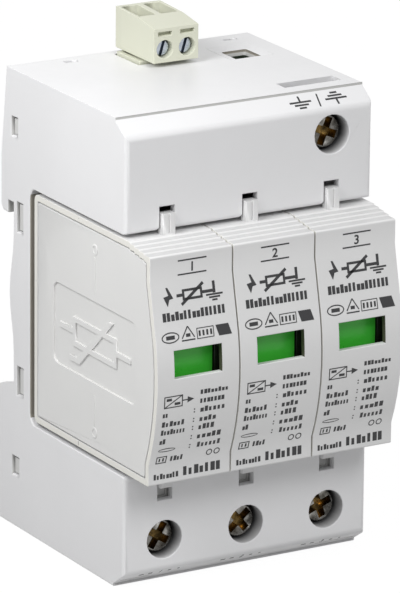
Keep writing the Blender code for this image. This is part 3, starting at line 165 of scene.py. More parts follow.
class Group(Nodes):
    """A node group under construction, its sockets given by type or, for inputs, by default value."""

    def __init__(self, kind, name, inputs, outputs):
        super().__init__(bpy.data.node_groups.new(name, kind + "NodeTree"))
        for side, sockets in (("INPUT", inputs), ("OUTPUT", outputs)):
            for label, what in sockets.items():
                by_type = isinstance(what, str)
                kind_of = "NodeSocket" + (what if by_type else SOCKET_TYPES[type(what)])
                socket = self.tree.interface.new_socket(label, in_out=side, socket_type=kind_of)
                if not by_type:
                    socket.default_value = what
        self.given = self.add("NodeGroupInput").outputs
        self.results = self.add("NodeGroupOutput").inputs

    def finish(self, **results):
        for label, result in results.items():
            self.feed(self.results[label], result)
        return self.tree


# Shader groups

LOOK = {"Tone": "Color", "Roughness": "Float", "Height": "Float"}


def moulded_grain():
    """Fine grain and slow unevenness of an injection moulded surface."""
    inputs = {"Tone": (0.8, 0.8, 0.8, 1.0), "Roughness": 0.4, "Unevenness": 0.02, "Grain Scale": 2600.0}
    group = Group("Shader", "moulded_grain", inputs, LOOK)
    given = group.given
    swing = group.spread(group.noise(55.0, 3.0), -1.0, 1.0)
    factor = group.plus(group.times(swing, given["Unevenness"]), 1.0)
    patch = group.spread(group.noise(420.0, 4.0), -0.05, 0.05)
    return group.finish(
        Tone=group.vector_math("SCALE", {0: given["Tone"], "Scale": factor}),
        Roughness=group.plus(given["Roughness"], patch),
        Height=group.noise(given["Grain Scale"]),
    )


def worked_metal():
    """Streaks, stains and small scratches of plated or bare metal. With a high Stain Share and a bright
    Tone, the few spots left in the Tone are painted glints.
    """
    inputs = {"Tone": (0.6, 0.6, 0.6, 1.0), "Stain": (0.3, 0.2, 0.1, 1.0), "Roughness": 0.3}
    inputs.update({"Stain Scale": 700.0, "Stain Share": 1.0})
    group = Group("Shader", "worked_metal", inputs, LOOK)
    given = group.given
    even = group.spread(group.noise(given["Stain Scale"], 4.0), 0.0, 1.0)
    mask = group.math("POWER", even, group.divided(1.0, given["Stain Share"]))
    scratch = group.noise(1900.0, 5.0)
    return group.finish(
        Tone=group.blend(mask, given["Tone"], given["Stain"]),
        Roughness=group.plus(given["Roughness"], group.spread(scratch, -0.08, 0.14)),
        Height=scratch,
    )


def height_step():
    """1 above a height of the Object coordinates, 0 below it, with a narrow soft edge."""
    group = Group("Shader", "height_step", {"Height": 0.05, "Softness": 0.0001}, {"Above": "Float"})
    over = group.minus(group.split(group.shaded_point())["Z"], group.given["Height"])
    return group.finish(Above=group.clamped(group.divided(over, group.given["Softness"])))


def depth_shade():
    """Painted shade: darkens a colour from the mouth of a recess, at Front, to its bottom, Deep further
    along Y.
    """
    inputs = {"Tone": (0.8, 0.8, 0.8, 1.0), "Front": 0.0, "Deep": 0.001, "Darkest": 0.2}
    group = Group("Shader", "depth_shade", inputs, {"Tone": "Color"})
    given = group.given
    within = group.minus(group.split(group.shaded_point())["Y"], given["Front"])
    share = group.clamped(group.divided(within, given["Deep"]))
    factor = group.minus(1.0, group.times(share, group.minus(1.0, given["Darkest"])))
    return group.finish(Tone=group.vector_math("SCALE", {0: given["Tone"], "Scale": factor}))


GRAIN = moulded_grain()
DEPTH_SHADE = depth_shade()
METAL = worked_metal()
HEIGHT_STEP = height_step()

# Materials

GRAIN_BUMP = 0.00002
SCRATCH_BUMP = 0.00003


def new_material(name):
    """A material with its nodes and its Principled shader."""
    material = bpy.data.materials.new(name)
    material.use_nodes = True
    return material, Nodes(material.node_tree), material.node_tree.nodes["Principled BSDF"]


def surfaced(name, group, tone, values, bump, strength, metallic=0.0):
    """A material that a shader group gives its look. The tone is a colour or a function that makes one."""
    material, nodes, shader = new_material(name)
    shader.inputs["Metallic"].default_value = metallic
    values["Tone"] = tone(nodes) if callable(tone) else (*tone, 1.0)
    look = nodes.add("ShaderNodeGroup", values, node_tree=group).outputs
    relief = nodes.add("ShaderNodeBump", {"Distance": bump, "Strength": strength, "Height": look["Height"]})
    nodes.feed(shader.inputs["Base Color"], look["Tone"])
    nodes.feed(shader.inputs["Roughness"], look["Roughness"])
    nodes.feed(shader.inputs["Normal"], relief.outputs["Normal"])
    return material


def plastic(name, tone, roughness=0.38, unevenness=0.015, grain=0.12):
    """A moulded plastic of this tone."""
    values = {"Roughness": roughness, "Unevenness": unevenness}
    return surfaced(name, GRAIN, tone, values, GRAIN_BUMP, grain)


def metal(name, tone, stain, roughness=0.3, stain_scale=700.0, scratches=0.2, share=1.0):
    """A metal of this tone with stains of another. A higher share leaves less of the tone; where that tone
    is bright, its few spots are painted glints.
    """
    values = {"Stain": (*stain, 1.0), "Roughness": roughness}
    values.update({"Stain Scale": stain_scale, "Stain Share": share})
    return surfaced(name, METAL, tone, values, SCRATCH_BUMP, scratches, metallic=1.0)


FLAG_CHANGE = 42.8
FLAG_SOFTNESS = 0.1
FLAG_UPPER = (0.055, 0.56, 0.045, 1.0)
FLAG_LOWER = (0.45, 0.02, 0.015, 1.0)
HOLE_TONE = (0.72, 0.72, 0.73, 1.0)
HOLE_SHADE_DEEP = 3.0
HOLE_DARKEST = 0.14


def flag_tone(nodes):
    """Green above a height of the status flag and red below it."""
    values = {"Height": FLAG_CHANGE * MM, "Softness": FLAG_SOFTNESS * MM}
    step = nodes.add("ShaderNodeGroup", values, node_tree=HEIGHT_STEP)
    return nodes.blend(step.outputs["Above"], FLAG_LOWER, FLAG_UPPER)


def hole_painted_shade(nodes):
    """Painted shade on the wall of a screw hole, which gets darker from its mouth inwards."""
    values = {"Tone": HOLE_TONE, "Front": at_depth(TERMINAL_DEPTH) * MM}
    values.update({"Deep": HOLE_SHADE_DEEP * MM, "Darkest": HOLE_DARKEST})
    return nodes.add("ShaderNodeGroup", values, node_tree=DEPTH_SHADE).outputs["Tone"]


HOUSING = plastic("housing_grey", (0.80, 0.80, 0.81))
FRAME = plastic("frame_grey", (0.64, 0.64, 0.63))
MODULE = plastic("module_grey", (0.76, 0.76, 0.76), roughness=0.34)
PLATE = plastic("plate_grey", (0.75, 0.75, 0.74), roughness=0.42)
# A painted highlight: the rim of a module's open side, lighter and creamier than the housing.
RIM_HIGHLIGHT = plastic("rim_cream_highlight", (0.80, 0.79, 0.74))
# Painted shade: the flat treads of a module's grip steps, darker than the housing.
GRIP_FLAT_SHADE = plastic("grip_flat_painted_shade", (0.60, 0.60, 0.60))
# Seam lines, and painted shade on the step over the top chamfer, the rear walls of the side windows and the
# walls of the slot floors.
SEAM_AND_SHADE = plastic("seam_and_shade_grey", (0.45, 0.45, 0.44), roughness=0.5)
# Painted shade in the back of the module bay and in the groove of the earth wire hole.
BAY_SHADE = plastic("bay_painted_shade", (0.30, 0.28, 0.24), roughness=0.5)
# Painted shade on the walls of the screw holes, darker from the mouth inwards.
SCREW_HOLE_SHADE = plastic("screw_hole_painted_shade", hole_painted_shade, roughness=0.45, unevenness=0.02, grain=0.1)
# Painted shade, nearly black, on the wall beside a module's status window.
WINDOW_WALL_SHADE = plastic("window_wall_painted_shade", (0.075, 0.07, 0.05), roughness=0.5)
# Painted shade, black, on the faces behind a module's status window and deep in the earth wire hole.
DEEP_SHADE = plastic("painted_deep_shade", (0.012, 0.02, 0.01), roughness=0.5)
CREAM = plastic("connector_cream", (0.66, 0.67, 0.55), roughness=0.42)
BLACK = plastic("switch_black", (0.03, 0.03, 0.03))
VARISTOR = plastic("varistor_blue", (0.05, 0.16, 0.42), roughness=0.25)
INK = plastic("print_ink", (0.022, 0.022, 0.024), roughness=0.5, unevenness=0.05, grain=0.02)
# Screw steel: the dark stain covers most of it, and the few spots left in the bright tone are painted
# glints.
STEEL_WITH_GLINTS = metal("screw_steel", (0.80, 0.79, 0.75), (0.055, 0.05, 0.042), 0.22, 560.0, 0.8, 4.0)
# The drive of a terminal screw: near-black painted shade, with golden painted glints.
DRIVE_SHADE_AND_GLINTS = metal("drive_bronze_shade_and_glints", (0.60, 0.38, 0.12), (0.018, 0.013, 0.007), 0.25, 620.0, 0.4, 3.6)
BLUED = metal("small_screw_steel", (0.55, 0.60, 0.66), (0.40, 0.44, 0.50), roughness=0.25)
# Painted shade in the slot of a small screw.
BLUED_SLOT_SHADE = metal("small_screw_slot_shade", (0.16, 0.19, 0.24), (0.09, 0.11, 0.14), roughness=0.35)
ZINC = metal("zinc_steel", (0.72, 0.73, 0.74), (0.58, 0.60, 0.62), roughness=0.3)
COPPER = metal("copper_strip", (0.80, 0.42, 0.25), (0.62, 0.34, 0.20), roughness=0.28)
FLAG = plastic("flag_green", flag_tone, roughness=0.32, unevenness=0.03, grain=0.1)

FINISHES = {
    "housing_grey": HOUSING,
    "frame_grey": FRAME,
    "module_grey": MODULE,
    "flag_green": FLAG,
    "connector_cream": CREAM,
    "screw_steel": STEEL_WITH_GLINTS,
    "zinc_steel": ZINC,
    "copper_strip": COPPER,
    "varistor_blue": VARISTOR,
    "switch_black": BLACK,
}
SLOT_OF = {part["node"]: part["material_slot"] for part in frame["record"]["subparts"]}
BODY_OF = {node: obj["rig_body"] for node, obj in frame["nodes"].items()}

# Meshes from the CAD nodes

SHARP = math.radians(24)
FLAT_TURN = math.radians(0.6)
STRAIGHT = math.cos(math.radians(20))
MERGE = 0.001
WIDEST = 1.0
ROOM_SHARE = 0.45
PLAIN_RADIUS = 0.12
CREASE_REACH = 0.15
FACING = 0.9


def linked(name, data):
    """A new object in the scene."""
    obj = bpy.data.objects.new(name, data)
    bpy.context.scene.collection.objects.link(obj)
    return obj


def evaluated_mesh(obj):
    graph = bpy.context.evaluated_depsgraph_get()
    return bpy.data.meshes.new_from_object(obj.evaluated_get(graph), depsgraph=graph)


def bake(obj):
    """Makes an object's modifiers part of its mesh."""
    obj.data = evaluated_mesh(obj)
    obj.modifiers.clear()


def merged(node):
    """The CAD node's faces as a clean bmesh, with flat areas as single faces."""
    source = frame["nodes"][node].data
    mesh = bpy.data.meshes.new(node + "_merged")
    corners = [tuple(face.vertices) for face in source.polygons]
    mesh.from_pydata([vert.co for vert in source.vertices], [], corners)
    work = bmesh.new()
    work.from_mesh(mesh)
    bpy.data.meshes.remove(mesh)
    bmesh.ops.remove_doubles(work, verts=work.verts, dist=MERGE * MM)
    bmesh.ops.dissolve_limit(
        work, angle_limit=FLAT_TURN, verts=work.verts, edges=work.edges, use_dissolve_boundaries=False
    )
    return work


def along_edge(edge):
    return (edge.verts[0].co - edge.verts[1].co).normalized()


def room_for_radius(edge):
    """The widest rounding that an edge's neighbours leave room for."""
    along = along_edge(edge)
    room = edge.calc_length()
    for vert in edge.verts:
        for other in vert.link_edges:
            if other != edge and abs(along_edge(other).dot(along)) < STRAIGHT:
                room = min(room, other.calc_length())
    return ROOM_SHARE * room / MM


def filled_area(mesh):
    """For each face, the area of the triangles that it is drawn with."""
    mesh.calc_loop_triangles()
    areas = [0.0] * len(mesh.polygons)
    for triangle in mesh.loop_triangles:
        areas[triangle.polygon_index] += triangle.area
    return areas


def refill(mesh):
    """Fills again each many-sided face whose triangles don't cover just its own area."""
    areas = filled_area(mesh)
    work = bmesh.new()
    work.from_mesh(mesh)
    work.faces.ensure_lookup_table()
    sizes = [face.calc_area() for face in work.faces]
    wrong = [face for face, size in zip(work.faces, sizes) if abs(size - areas[face.index]) > 0.01 * size]
    for face in wrong:
        across = face.normal.orthogonal().normalized()
        up = face.normal.cross(across)
        corners = list(face.verts)
        flat = [Vector((vert.co.dot(across), vert.co.dot(up))) / MM for vert in corners]
        points, _, triangles, sources, _, _ = delaunay_2d_cdt(flat, [], [list(range(len(flat)))], 1, 1e-5)
        level = corners[0].co.dot(face.normal)
        verts = []
        for point, source in zip(points, sources):
            if source:
                verts.append(corners[source[0]])
            else:
                verts.append(work.verts.new((across * point.x + up * point.y) * MM + face.normal * level))
        for triangle in triangles:
            chosen = [verts[index] for index in triangle]
            if len(set(chosen)) == 3 and not work.faces.get(chosen):
                work.faces.new(chosen, face).smooth = True
    bmesh.ops.delete(work, geom=wrong, context="FACES_ONLY")
    work.to_mesh(mesh)
    work.free()


def near(value, wanted, reach=0.06):
    return abs(value - wanted) < reach


def plain_radius(x, depth, z, along):
    """The rounding of an ordinary moulded edge."""
    return PLAIN_RADIUS


def dressed(node, radius_of=plain_radius, finish=None, choose=None, extra=(), creases=(), sharp=SHARP):
    """A copy of a CAD node with rounded edges that stands for it. choose gives each face's number in its
    finishes, and creases are the heights of blunt edges across the front that stay crisp."""
    work = merged(node)
    weights = work.edges.layers.float.new("bevel_weight_edge")
    for edge in work.edges:
        turn = edge.calc_face_angle_signed(0.0) if len(edge.link_faces) == 2 else 0.0
        centre = (edge.verts[0].co + edge.verts[1].co) / 2 / MM
        along = along_edge(edge)
        at_crease = any(near(centre.z, height, CREASE_REACH) for height in creases)
        crisp = abs(along.x) > FACING and at_crease
        edge.smooth = abs(turn) < sharp and not crisp
        if turn < sharp:
            continue
        radius = radius_of(centre.x, REAR - centre.y, centre.z, along)
        edge[weights] = min(radius, room_for_radius(edge), WIDEST) / WIDEST
        edge.smooth = edge[weights] > 0.0
    mesh = bpy.data.meshes.new(node + "_dressed")
    for face in work.faces:
        face.smooth = True
        if choose is not None:
            face.material_index = choose(face)
    work.to_mesh(mesh)
    work.free()
    for material in (finish or FINISHES[SLOT_OF[node]], *extra):
        mesh.materials.append(material)
    obj = linked(node + "_look", mesh)
    bevel = obj.modifiers.new("edges", "BEVEL")
    bevel.limit_method = "WEIGHT"
    bevel.width = WIDEST * MM
    bevel.segments = 2
    bevel.use_clamp_overlap = False
    bake(obj)
    refill(obj.data)
    obj.modifiers.new("flat_faces", "WEIGHTED_NORMAL").keep_sharp = True
    bake(obj)
    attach(obj, BODY_OF[node])
    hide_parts(node)
    return obj


# Base

CHAMFER_DEPTH = 3.8
CHAMFER_HEIGHT = 3.0
BAY_TOP = 68.6
BAY_DEPTH = 12.2
CHAMFER_RADIUS = 0.9
BLOCK_RADIUS = 0.5
OPENING_RADIUS = 0.22
STEP_RADIUS = 0.03
SEAT_SIDE_RADIUS = 0.05
SIDE_RADIUS = 0.42

# The label slot's edges lie between these depths.
LABEL_BACK = 37.0
LABEL_FRONT = 43.0

# The side edges under the rail lie behind this depth and between these heights.
SEAT_SIDE_DEPTH = 6.0
SEAT_SIDE_LOW = 22.0
SEAT_SIDE_HIGH = 30.0


def cover_radius(x, depth, z, along):
    """Roundings of the cover: soft at the chamfers and the blocks' front edges, none at the label slot."""
    across = abs(along.x) > FACING
    on_side = near(abs(x), WIDTH / 2)
    front = near(depth, TERMINAL_DEPTH)
    if across and front and near(z, HEIGHT - CHAMFER_HEIGHT):
        return CHAMFER_RADIUS
    if across and front and (near(z, BAY_TOP) or near(z, CHAMFER_HEIGHT)):
        return BLOCK_RADIUS
    if front and abs(along.y) < 0.1 and not on_side:
        return OPENING_RADIUS
    if near(depth, TERMINAL_DEPTH - CHAMFER_DEPTH):
        return STEP_RADIUS
    if on_side and depth < SEAT_SIDE_DEPTH and SEAT_SIDE_LOW < z < SEAT_SIDE_HIGH:
        return SEAT_SIDE_RADIUS
    if near(z, HEIGHT) and depth > LABEL_BACK and (not across or depth < LABEL_FRONT):
        return 0.0
    return SIDE_RADIUS if on_side else PLAIN_RADIUS


SCREW_PLACES = [middle("terminal_screw_" + name) / MM for name in TERMINALS]
HOLE_REACH = 3.8
HOLE_WALLS_BACK = 43.0
SIDE_WINDOW_DEPTH = 8.0
SIDE_WINDOW_INSET = 2.0
SIDE_WINDOW_AREA = 20.0


def cover_finish(face):
    """1 for the walls of the screw holes, 2 for the step over the top chamfer and the rear walls of the side
    windows, 3 for the back of the module bay: all three paint shade."""
    centre = face.calc_center_median() / MM
    depth = REAR - centre.y
    if abs(face.normal.y) < 0.3 and depth > HOLE_WALLS_BACK:
        for spot in SCREW_PLACES:
            if math.hypot(centre.x - spot.x, centre.z - spot.z) < HOLE_REACH:
                return 1
    if face.normal.y >= -FACING:
        return 0
    if near(depth, TERMINAL_DEPTH - CHAMFER_DEPTH, 0.2) and centre.z > HEIGHT - 1.0:
        return 2
    small = face.calc_area() < SIDE_WINDOW_AREA * MM * MM
    if small and depth < SIDE_WINDOW_DEPTH and abs(centre.x) > WIDTH / 2 - SIDE_WINDOW_INSET:
        return 2
    return 3 if near(depth, BAY_DEPTH, 0.1) else 0


COVER = dressed("base_cover", cover_radius, choose=cover_finish, extra=(SCREW_HOLE_SHADE, SEAM_AND_SHADE, BAY_SHADE))
for node in ("back_frame", "rail_foot", "signal_header"):
    dressed(node)

# Modules

GRIP_BACK = 45.0
GRIP_LOW = 64.0
GRIP_RADIUS = 0.04
UPRIGHT_RADIUS = 0.1
SHELL_RADIUS = 0.16
ARC_TURN = math.radians(31)
BAND_LOW = 62.1
FOOT_BAND_HIGH = 27.3
WINDOW_SIDE = 5.0
FLAG_SLOT_DEPTHS = (54.0, 56.5)


def module_radius(x, depth, z, along):
    """Roundings of a module's housing: fine at the grip steps and on the edges that run up or inwards."""
    if depth > GRIP_BACK and z > GRIP_LOW and abs(along.x) > FACING:
        return GRIP_RADIUS
    return UPRIGHT_RADIUS if abs(along.x) < 0.1 else SHELL_RADIUS


def plate_radius(x, depth, z, along):
    """The one rounding of a side plate."""
    return UPRIGHT_RADIUS


def shell_finisher(centre_x):
    """The finishes of the module's housing that has its middle at this x."""

    def choose(face):
        """1 for the rim of the open side, in a painted highlight, 2 and 3 for walls in the window and 4 for
        the flats of the grips, in painted shade.
        """
        centre = face.calc_center_median() / MM
        across = centre.x - centre_x
        depth = REAR - centre.y
        if face.normal.x < -FACING:
            if near(across, -MODULE_WIDTH / 2):
                return 1
            if near(across, WINDOW_SIDE):
                return 2
            if across > WINDOW_SIDE:
                return 3
        in_slot = FLAG_SLOT_DEPTHS[0] < depth < FLAG_SLOT_DEPTHS[1]
        if face.normal.y < -FACING and across > WINDOW_SIDE and in_slot:
            return 3
        return 4 if face.normal.z > 0.99 and depth > GRIP_BACK and centre.z > GRIP_LOW else 0

    return choose


for number in MODULES:
    shell = "module_%s_shell" % number
    finisher = shell_finisher(middle(shell).x / MM)
    # A painted highlight on the open side's rim, painted shade in the status window and on the grip flats.
    finishes = (RIM_HIGHLIGHT, WINDOW_WALL_SHADE, DEEP_SHADE, GRIP_FLAT_SHADE)
    dressed(shell, module_radius, None, finisher, finishes, (BAND_LOW, FOOT_BAND_HIGH), ARC_TURN)
    dressed("module_%s_side_plate" % number, plate_radius, PLATE, sharp=ARC_TURN)
    dressed("module_%s_status_flag" % number)

dressed("signal_plug")

# CAD nodes that stay as they are

for node, obj in frame["nodes"].items():
    if not obj.hide_render:
        obj.data.materials.clear()
        obj.data.materials.append(FINISHES[SLOT_OF[node]])

# Screws, made with Geometry Nodes


def titled(values):
    """The same values under the labels that sockets have."""
    return {label.replace("_", " ").title(): value for label, value in values.items()}


class GeometryGroup(Group):
    """A Geometry Nodes group under construction."""

    def __init__(self, name, inputs):
        whole = {"Geometry": "Geometry"}
        super().__init__("Geometry", name, {**whole, **inputs}, whole)

    def vector(self, x=0.0, y=0.0, z=0.0):
        return self.add("ShaderNodeCombineXYZ", {"X": x, "Y": y, "Z": z}).outputs[0]

    def position(self):
        return self.add("GeometryNodeInputPosition").outputs[0]

    def logic(self, operation, first, second):
        return self.add("FunctionNodeBooleanMath", {0: first, 1: second}, operation=operation).outputs[0]

    def above(self, first, second):
        """Whether the first number is greater."""
        settings = {"data_type": "FLOAT", "operation": "GREATER_THAN"}
        return self.add("FunctionNodeCompare", {"A": first, "B": second}, **settings).outputs[0]

    def moved(self, geometry, **values):
        return self.add("GeometryNodeTransform", {"Geometry": geometry, **titled(values)}).outputs[0]

    def set_back(self, geometry, distance):
        """The geometry moved towards -Z by a distance."""
        return self.moved(geometry, translation=self.vector(z=self.times(distance, -1.0)))

    def placed(self, geometry, position, **selection):
        """The geometry with its selected points at another position."""
        values = {"Geometry": geometry, **titled(selection), "Position": position}
        return self.add("GeometryNodeSetPosition", values).outputs[0]

    def cylinder(self, sides, radius, length, **values):
        values = {"Vertices": sides, **titled(values), "Radius": radius, "Depth": length}
        return self.add("GeometryNodeMeshCylinder", values).outputs["Mesh"]

    def block(self, x, y, z):
        return self.add("GeometryNodeMeshCube", {"Size": self.vector(x, y, z)}).outputs["Mesh"]

    def joined(self, pieces):
        return self.add("GeometryNodeJoinGeometry", {"Geometry": pieces}).outputs[0]

    def flat(self, geometry):
        """The geometry with flat shading."""
        values = {"Geometry": geometry, "Shade Smooth": False}
        return self.add("GeometryNodeSetShadeSmooth", values).outputs[0]

    def realized(self, geometry):
        return self.add("GeometryNodeRealizeInstances", {"Geometry": geometry}).outputs[0]

    def painted(self, geometry, material, **selection):
        """The geometry, or its selected faces, in a material."""
        values = {"Geometry": geometry, "Material": material, **titled(selection)}
        return self.add("GeometryNodeSetMaterial", values).outputs[0]


def grown(name, tree, values, mesh=None):
    """The plain mesh that a tree makes from these inputs, as a new object."""
    obj = linked(name, mesh or bpy.data.meshes.new(name))
    modifier = obj.modifiers.new(tree.name, "NODES")
    modifier.node_group = tree
    sockets = {item.name: item.identifier for item in tree.interface.items_tree if item.in_out == "INPUT"}
    for label, value in values.items():
        modifier[sockets[label]] = value
    bake(obj)
    return obj


SCREW_SIZES = ("Head Radius", "Head Thickness", "Rim", "Shank Radius", "Shank Length", "Slot Width")
SCREW_SIZES += ("Slot Length", "Slot Depth", "Cross Length", "Centre Radius", "Turn", "Pitch")
CONE_SHARE = 0.35
THREAD_SHARE = 0.9
RIDGE_SHARE = 0.33
RECESS_REACH = 0.93
HAIR = 0.02


def screw_tree():
    """A screw along +Z with its head's face at z = 0: chamfered head, slot, cross and a thread ridge."""
    inputs = {label: "Float" for label in SCREW_SIZES}
    inputs.update({"Place": "Vector", "Head": "Material", "Recess": "Material"})
    tree = GeometryGroup("screw", inputs)
    radius, thick, rim, shank, long, slot, slot_long, deep, cross, centre, turn, pitch = (
        tree.given[label] for label in SCREW_SIZES
    )
    disc = tree.cylinder(48, radius, thick, side_segments=2)
    here = tree.position()
    x, y, z = tree.split(here)
    is_top = tree.above(z, tree.times(thick, 0.4))
    is_low = tree.above(tree.times(thick, -0.4), z)
    ratio = tree.divided(tree.minus(radius, rim), radius)
    inward = tree.vector_math("MULTIPLY", {0: here, 1: tree.vector(ratio, ratio, 1.0)})
    disc = tree.placed(disc, inward, selection=is_top)
    shoulder = tree.minus(tree.times(thick, 0.5), rim)
    disc = tree.placed(disc, tree.vector(x, y, shoulder), selection=tree.logic("NOR", is_top, is_low))
    disc = tree.set_back(disc, tree.times(thick, 0.5))
    twice = tree.times(deep, 2.0)
    cone_values = {"Radius Top": centre, "Radius Bottom": tree.times(centre, CONE_SHARE), "Depth": twice}
    cone = tree.add("GeometryNodeMeshCone", {"Vertices": 24, **cone_values}).outputs["Mesh"]
    cross_cutter = tree.block(slot, cross, twice)
    slot_cutter = tree.block(slot_long, slot, twice)
    cut = {"Mesh 1": disc, "Mesh 2": [tree.set_back(cone, deep), cross_cutter, slot_cutter]}
    head = tree.add("GeometryNodeMeshBoolean", cut, operation="DIFFERENCE", solver="EXACT").outputs["Mesh"]
    stem_middle = tree.plus(tree.times(long, 0.5), tree.times(thick, 0.9))
    stem = tree.set_back(tree.cylinder(32, shank, long), stem_middle)
    threaded = tree.times(long, THREAD_SHARE)
    coil = {"Start Radius": shank, "End Radius": shank, "Height": threaded}
    coil.update({"Resolution": 24, "Rotations": tree.divided(threaded, pitch)})
    spiral = tree.add("GeometryNodeCurveSpiral", coil).outputs["Curve"]
    section = {"Resolution": 4, "Radius": tree.times(pitch, RIDGE_SHARE)}
    outline = tree.add("GeometryNodeCurvePrimitiveCircle", section, mode="RADIUS").outputs["Curve"]
    swept = {"Curve": spiral, "Profile Curve": outline, "Fill Caps": True}
    ridge = tree.add("GeometryNodeCurveToMesh", swept).outputs["Mesh"]
    ridge = tree.set_back(ridge, tree.plus(tree.plus(thick, threaded), tree.times(long, 0.05)))
    joined = tree.joined([tree.flat(head), stem, ridge])
    whole = tree.painted(tree.realized(joined), tree.given["Head"])
    x, y, z = tree.split(tree.position())
    reach = tree.math("SQRT", tree.plus(tree.times(x, x), tree.times(y, y)))
    below_face = tree.above(-HAIR * MM, z)
    above_floor = tree.above(z, tree.minus(tree.times(deep, -1.0), HAIR * MM))
    within = tree.above(tree.times(radius, RECESS_REACH), reach)
    recess_to_shade = tree.logic("AND", tree.logic("AND", below_face, above_floor), within)
    # The drive's faces take the Recess material, which paints the shade in the drive.
    whole = tree.painted(whole, tree.given["Recess"], selection=recess_to_shade)
    turned = tree.moved(whole, rotation=tree.vector(z=turn))
    upright = tree.moved(turned, rotation=tree.vector(x=math.pi / 2), translation=tree.given["Place"])
    return tree.finish(Geometry=upright)


SCREW = screw_tree()
SCREW_TURNS = {"1": 58, "2": 40, "3": 20, "earth": 68}
SMALL_SCREW_TURN = 73
RIM_SHARE = 0.09
TERMINAL_SCREW = {
    "Head Thickness": 2.4,
    "Shank Radius": 2.2,
    "Slot Width": 1.5,
    "Slot Length": 5.5,
    "Slot Depth": 1.5,
    "Cross Length": 5.1,
    "Centre Radius": 1.7,
    "Pitch": 0.8,
}
SMALL_SCREW = {
    "Head Thickness": 1.2,
    "Shank Radius": 0.75,
    "Slot Width": 0.62,
    "Slot Length": 4.0,
    "Slot Depth": 0.6,
    "Cross Length": 0.4,
    "Centre Radius": 0.2,
    "Pitch": 0.4,
}


def screw(node, turn, sizes, head, recess):
    """Replaces a CAD screw by one with its drive, rim and thread."""
    low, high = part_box(node)
    radius = (high.x - low.x) / 2
    values = {label: size * MM for label, size in sizes.items()}
    values["Head Radius"] = radius
    values["Rim"] = RIM_SHARE * radius
    values["Shank Length"] = high.y - low.y - 0.9 * values["Head Thickness"]
    values["Place"] = ((low.x + high.x) / 2, low.y, (low.z + high.z) / 2)
    values["Turn"] = math.radians(turn)
    values["Head"] = head
    values["Recess"] = recess
    obj = grown(node + "_look", SCREW, values)
    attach(obj, BODY_OF[node])
    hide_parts(node)


for name in TERMINALS:
    screw("terminal_screw_" + name, SCREW_TURNS[name], TERMINAL_SCREW, STEEL_WITH_GLINTS, DRIVE_SHADE_AND_GLINTS)
for number in POLES:
    screw("signal_screw_" + number, SMALL_SCREW_TURN, SMALL_SCREW, BLUED, BLUED_SLOT_SHADE)

# Small moulded pieces

ARC_STEPS = 4
ROUND_CORNER = 0.98
CRISP_TURN = math.radians(32)


def ring_of(centre_x, centre_depth, half_x, half_depth, z, corner):
    """The points of a rounded rectangle at one height."""
    points = []
    for turn, side_x, side_y in ((0, 1, 1), (1, -1, 1), (2, -1, -1), (3, 1, -1)):
        for step in range(ARC_STEPS + 1):
            angle = math.pi / 2 * (turn + step / ARC_STEPS)
            x = centre_x + side_x * (half_x - corner) + corner * math.cos(angle)
            y = at_depth(centre_depth) + side_y * (half_depth - corner) + corner * math.sin(angle)
            points.append(Vector((x, y, z)) * MM)
    return points


def upright_ring(x, z, half_x, half_z, depth, corner):
    """A rounded rectangle that faces the front, at one depth."""
    flat = ring_of(0.0, REAR, half_x, half_z, 0.0, corner)
    return [Vector((x * MM + point.x, at_depth(depth) * MM, z * MM + point.y)) for point in flat]


def moulded(name, rings, finishes, node, capped=False):
    """A closed piece through a row of rings. Each finish is for the band that starts at its ring."""
    work = bmesh.new()
    loops = [[work.verts.new(point) for point in ring] for ring in rings]
    bands = len(loops) - 1 if capped else len(loops)
    materials = list(dict.fromkeys(finishes))
    for band in range(bands):
        first, second = loops[band], loops[(band + 1) % len(loops)]
        for step in range(len(first)):
            after = (step + 1) % len(first)
            face = work.faces.new((first[step], first[after], second[after], second[step]))
            face.material_index = materials.index(finishes[band])
            face.smooth = True
    if capped:
        work.faces.new(loops[0])
        work.faces.new(loops[-1])
    bmesh.ops.recalc_face_normals(work, faces=work.faces)
    for edge in work.edges:
        edge.smooth = edge.calc_face_angle(0.0) < CRISP_TURN
    mesh = bpy.data.meshes.new(name)
    work.to_mesh(mesh)
    work.free()
    for finish in materials:
        mesh.materials.append(finish)
    obj = linked(name, mesh)
    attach(obj, BODY_OF[node])


# The funnel in the earth wire hole: its outer edge is the hole's, its opening is further front.
HOLE_X = 17.5
HOLE_HALF = 4.6
HOLE_BACK = 9.7
HOLE_FRONT = 19.2
HOLE_GAP = 0.02
FUNNEL_X = 17.4
FUNNEL_BACK = 12.3
FUNNEL_FRONT = 18.9
FUNNEL_HALF_X = 2.75
FUNNEL_DEEP = 3.2
FUNNEL_SUNK = 0.03

# The funnel's inner rings: inset across, inset in depth, distance down and corner.
FUNNEL_RINGS = (
    (0.0, 0.0, 0.35, 0.6),
    (0.0, 0.0, 0.75, 0.6),
    (0.2, 0.2, 0.8, 0.5),
    (0.35, 0.3, 1.4, 0.5),
    (0.3, 0.25, FUNNEL_DEEP, 0.5),
)


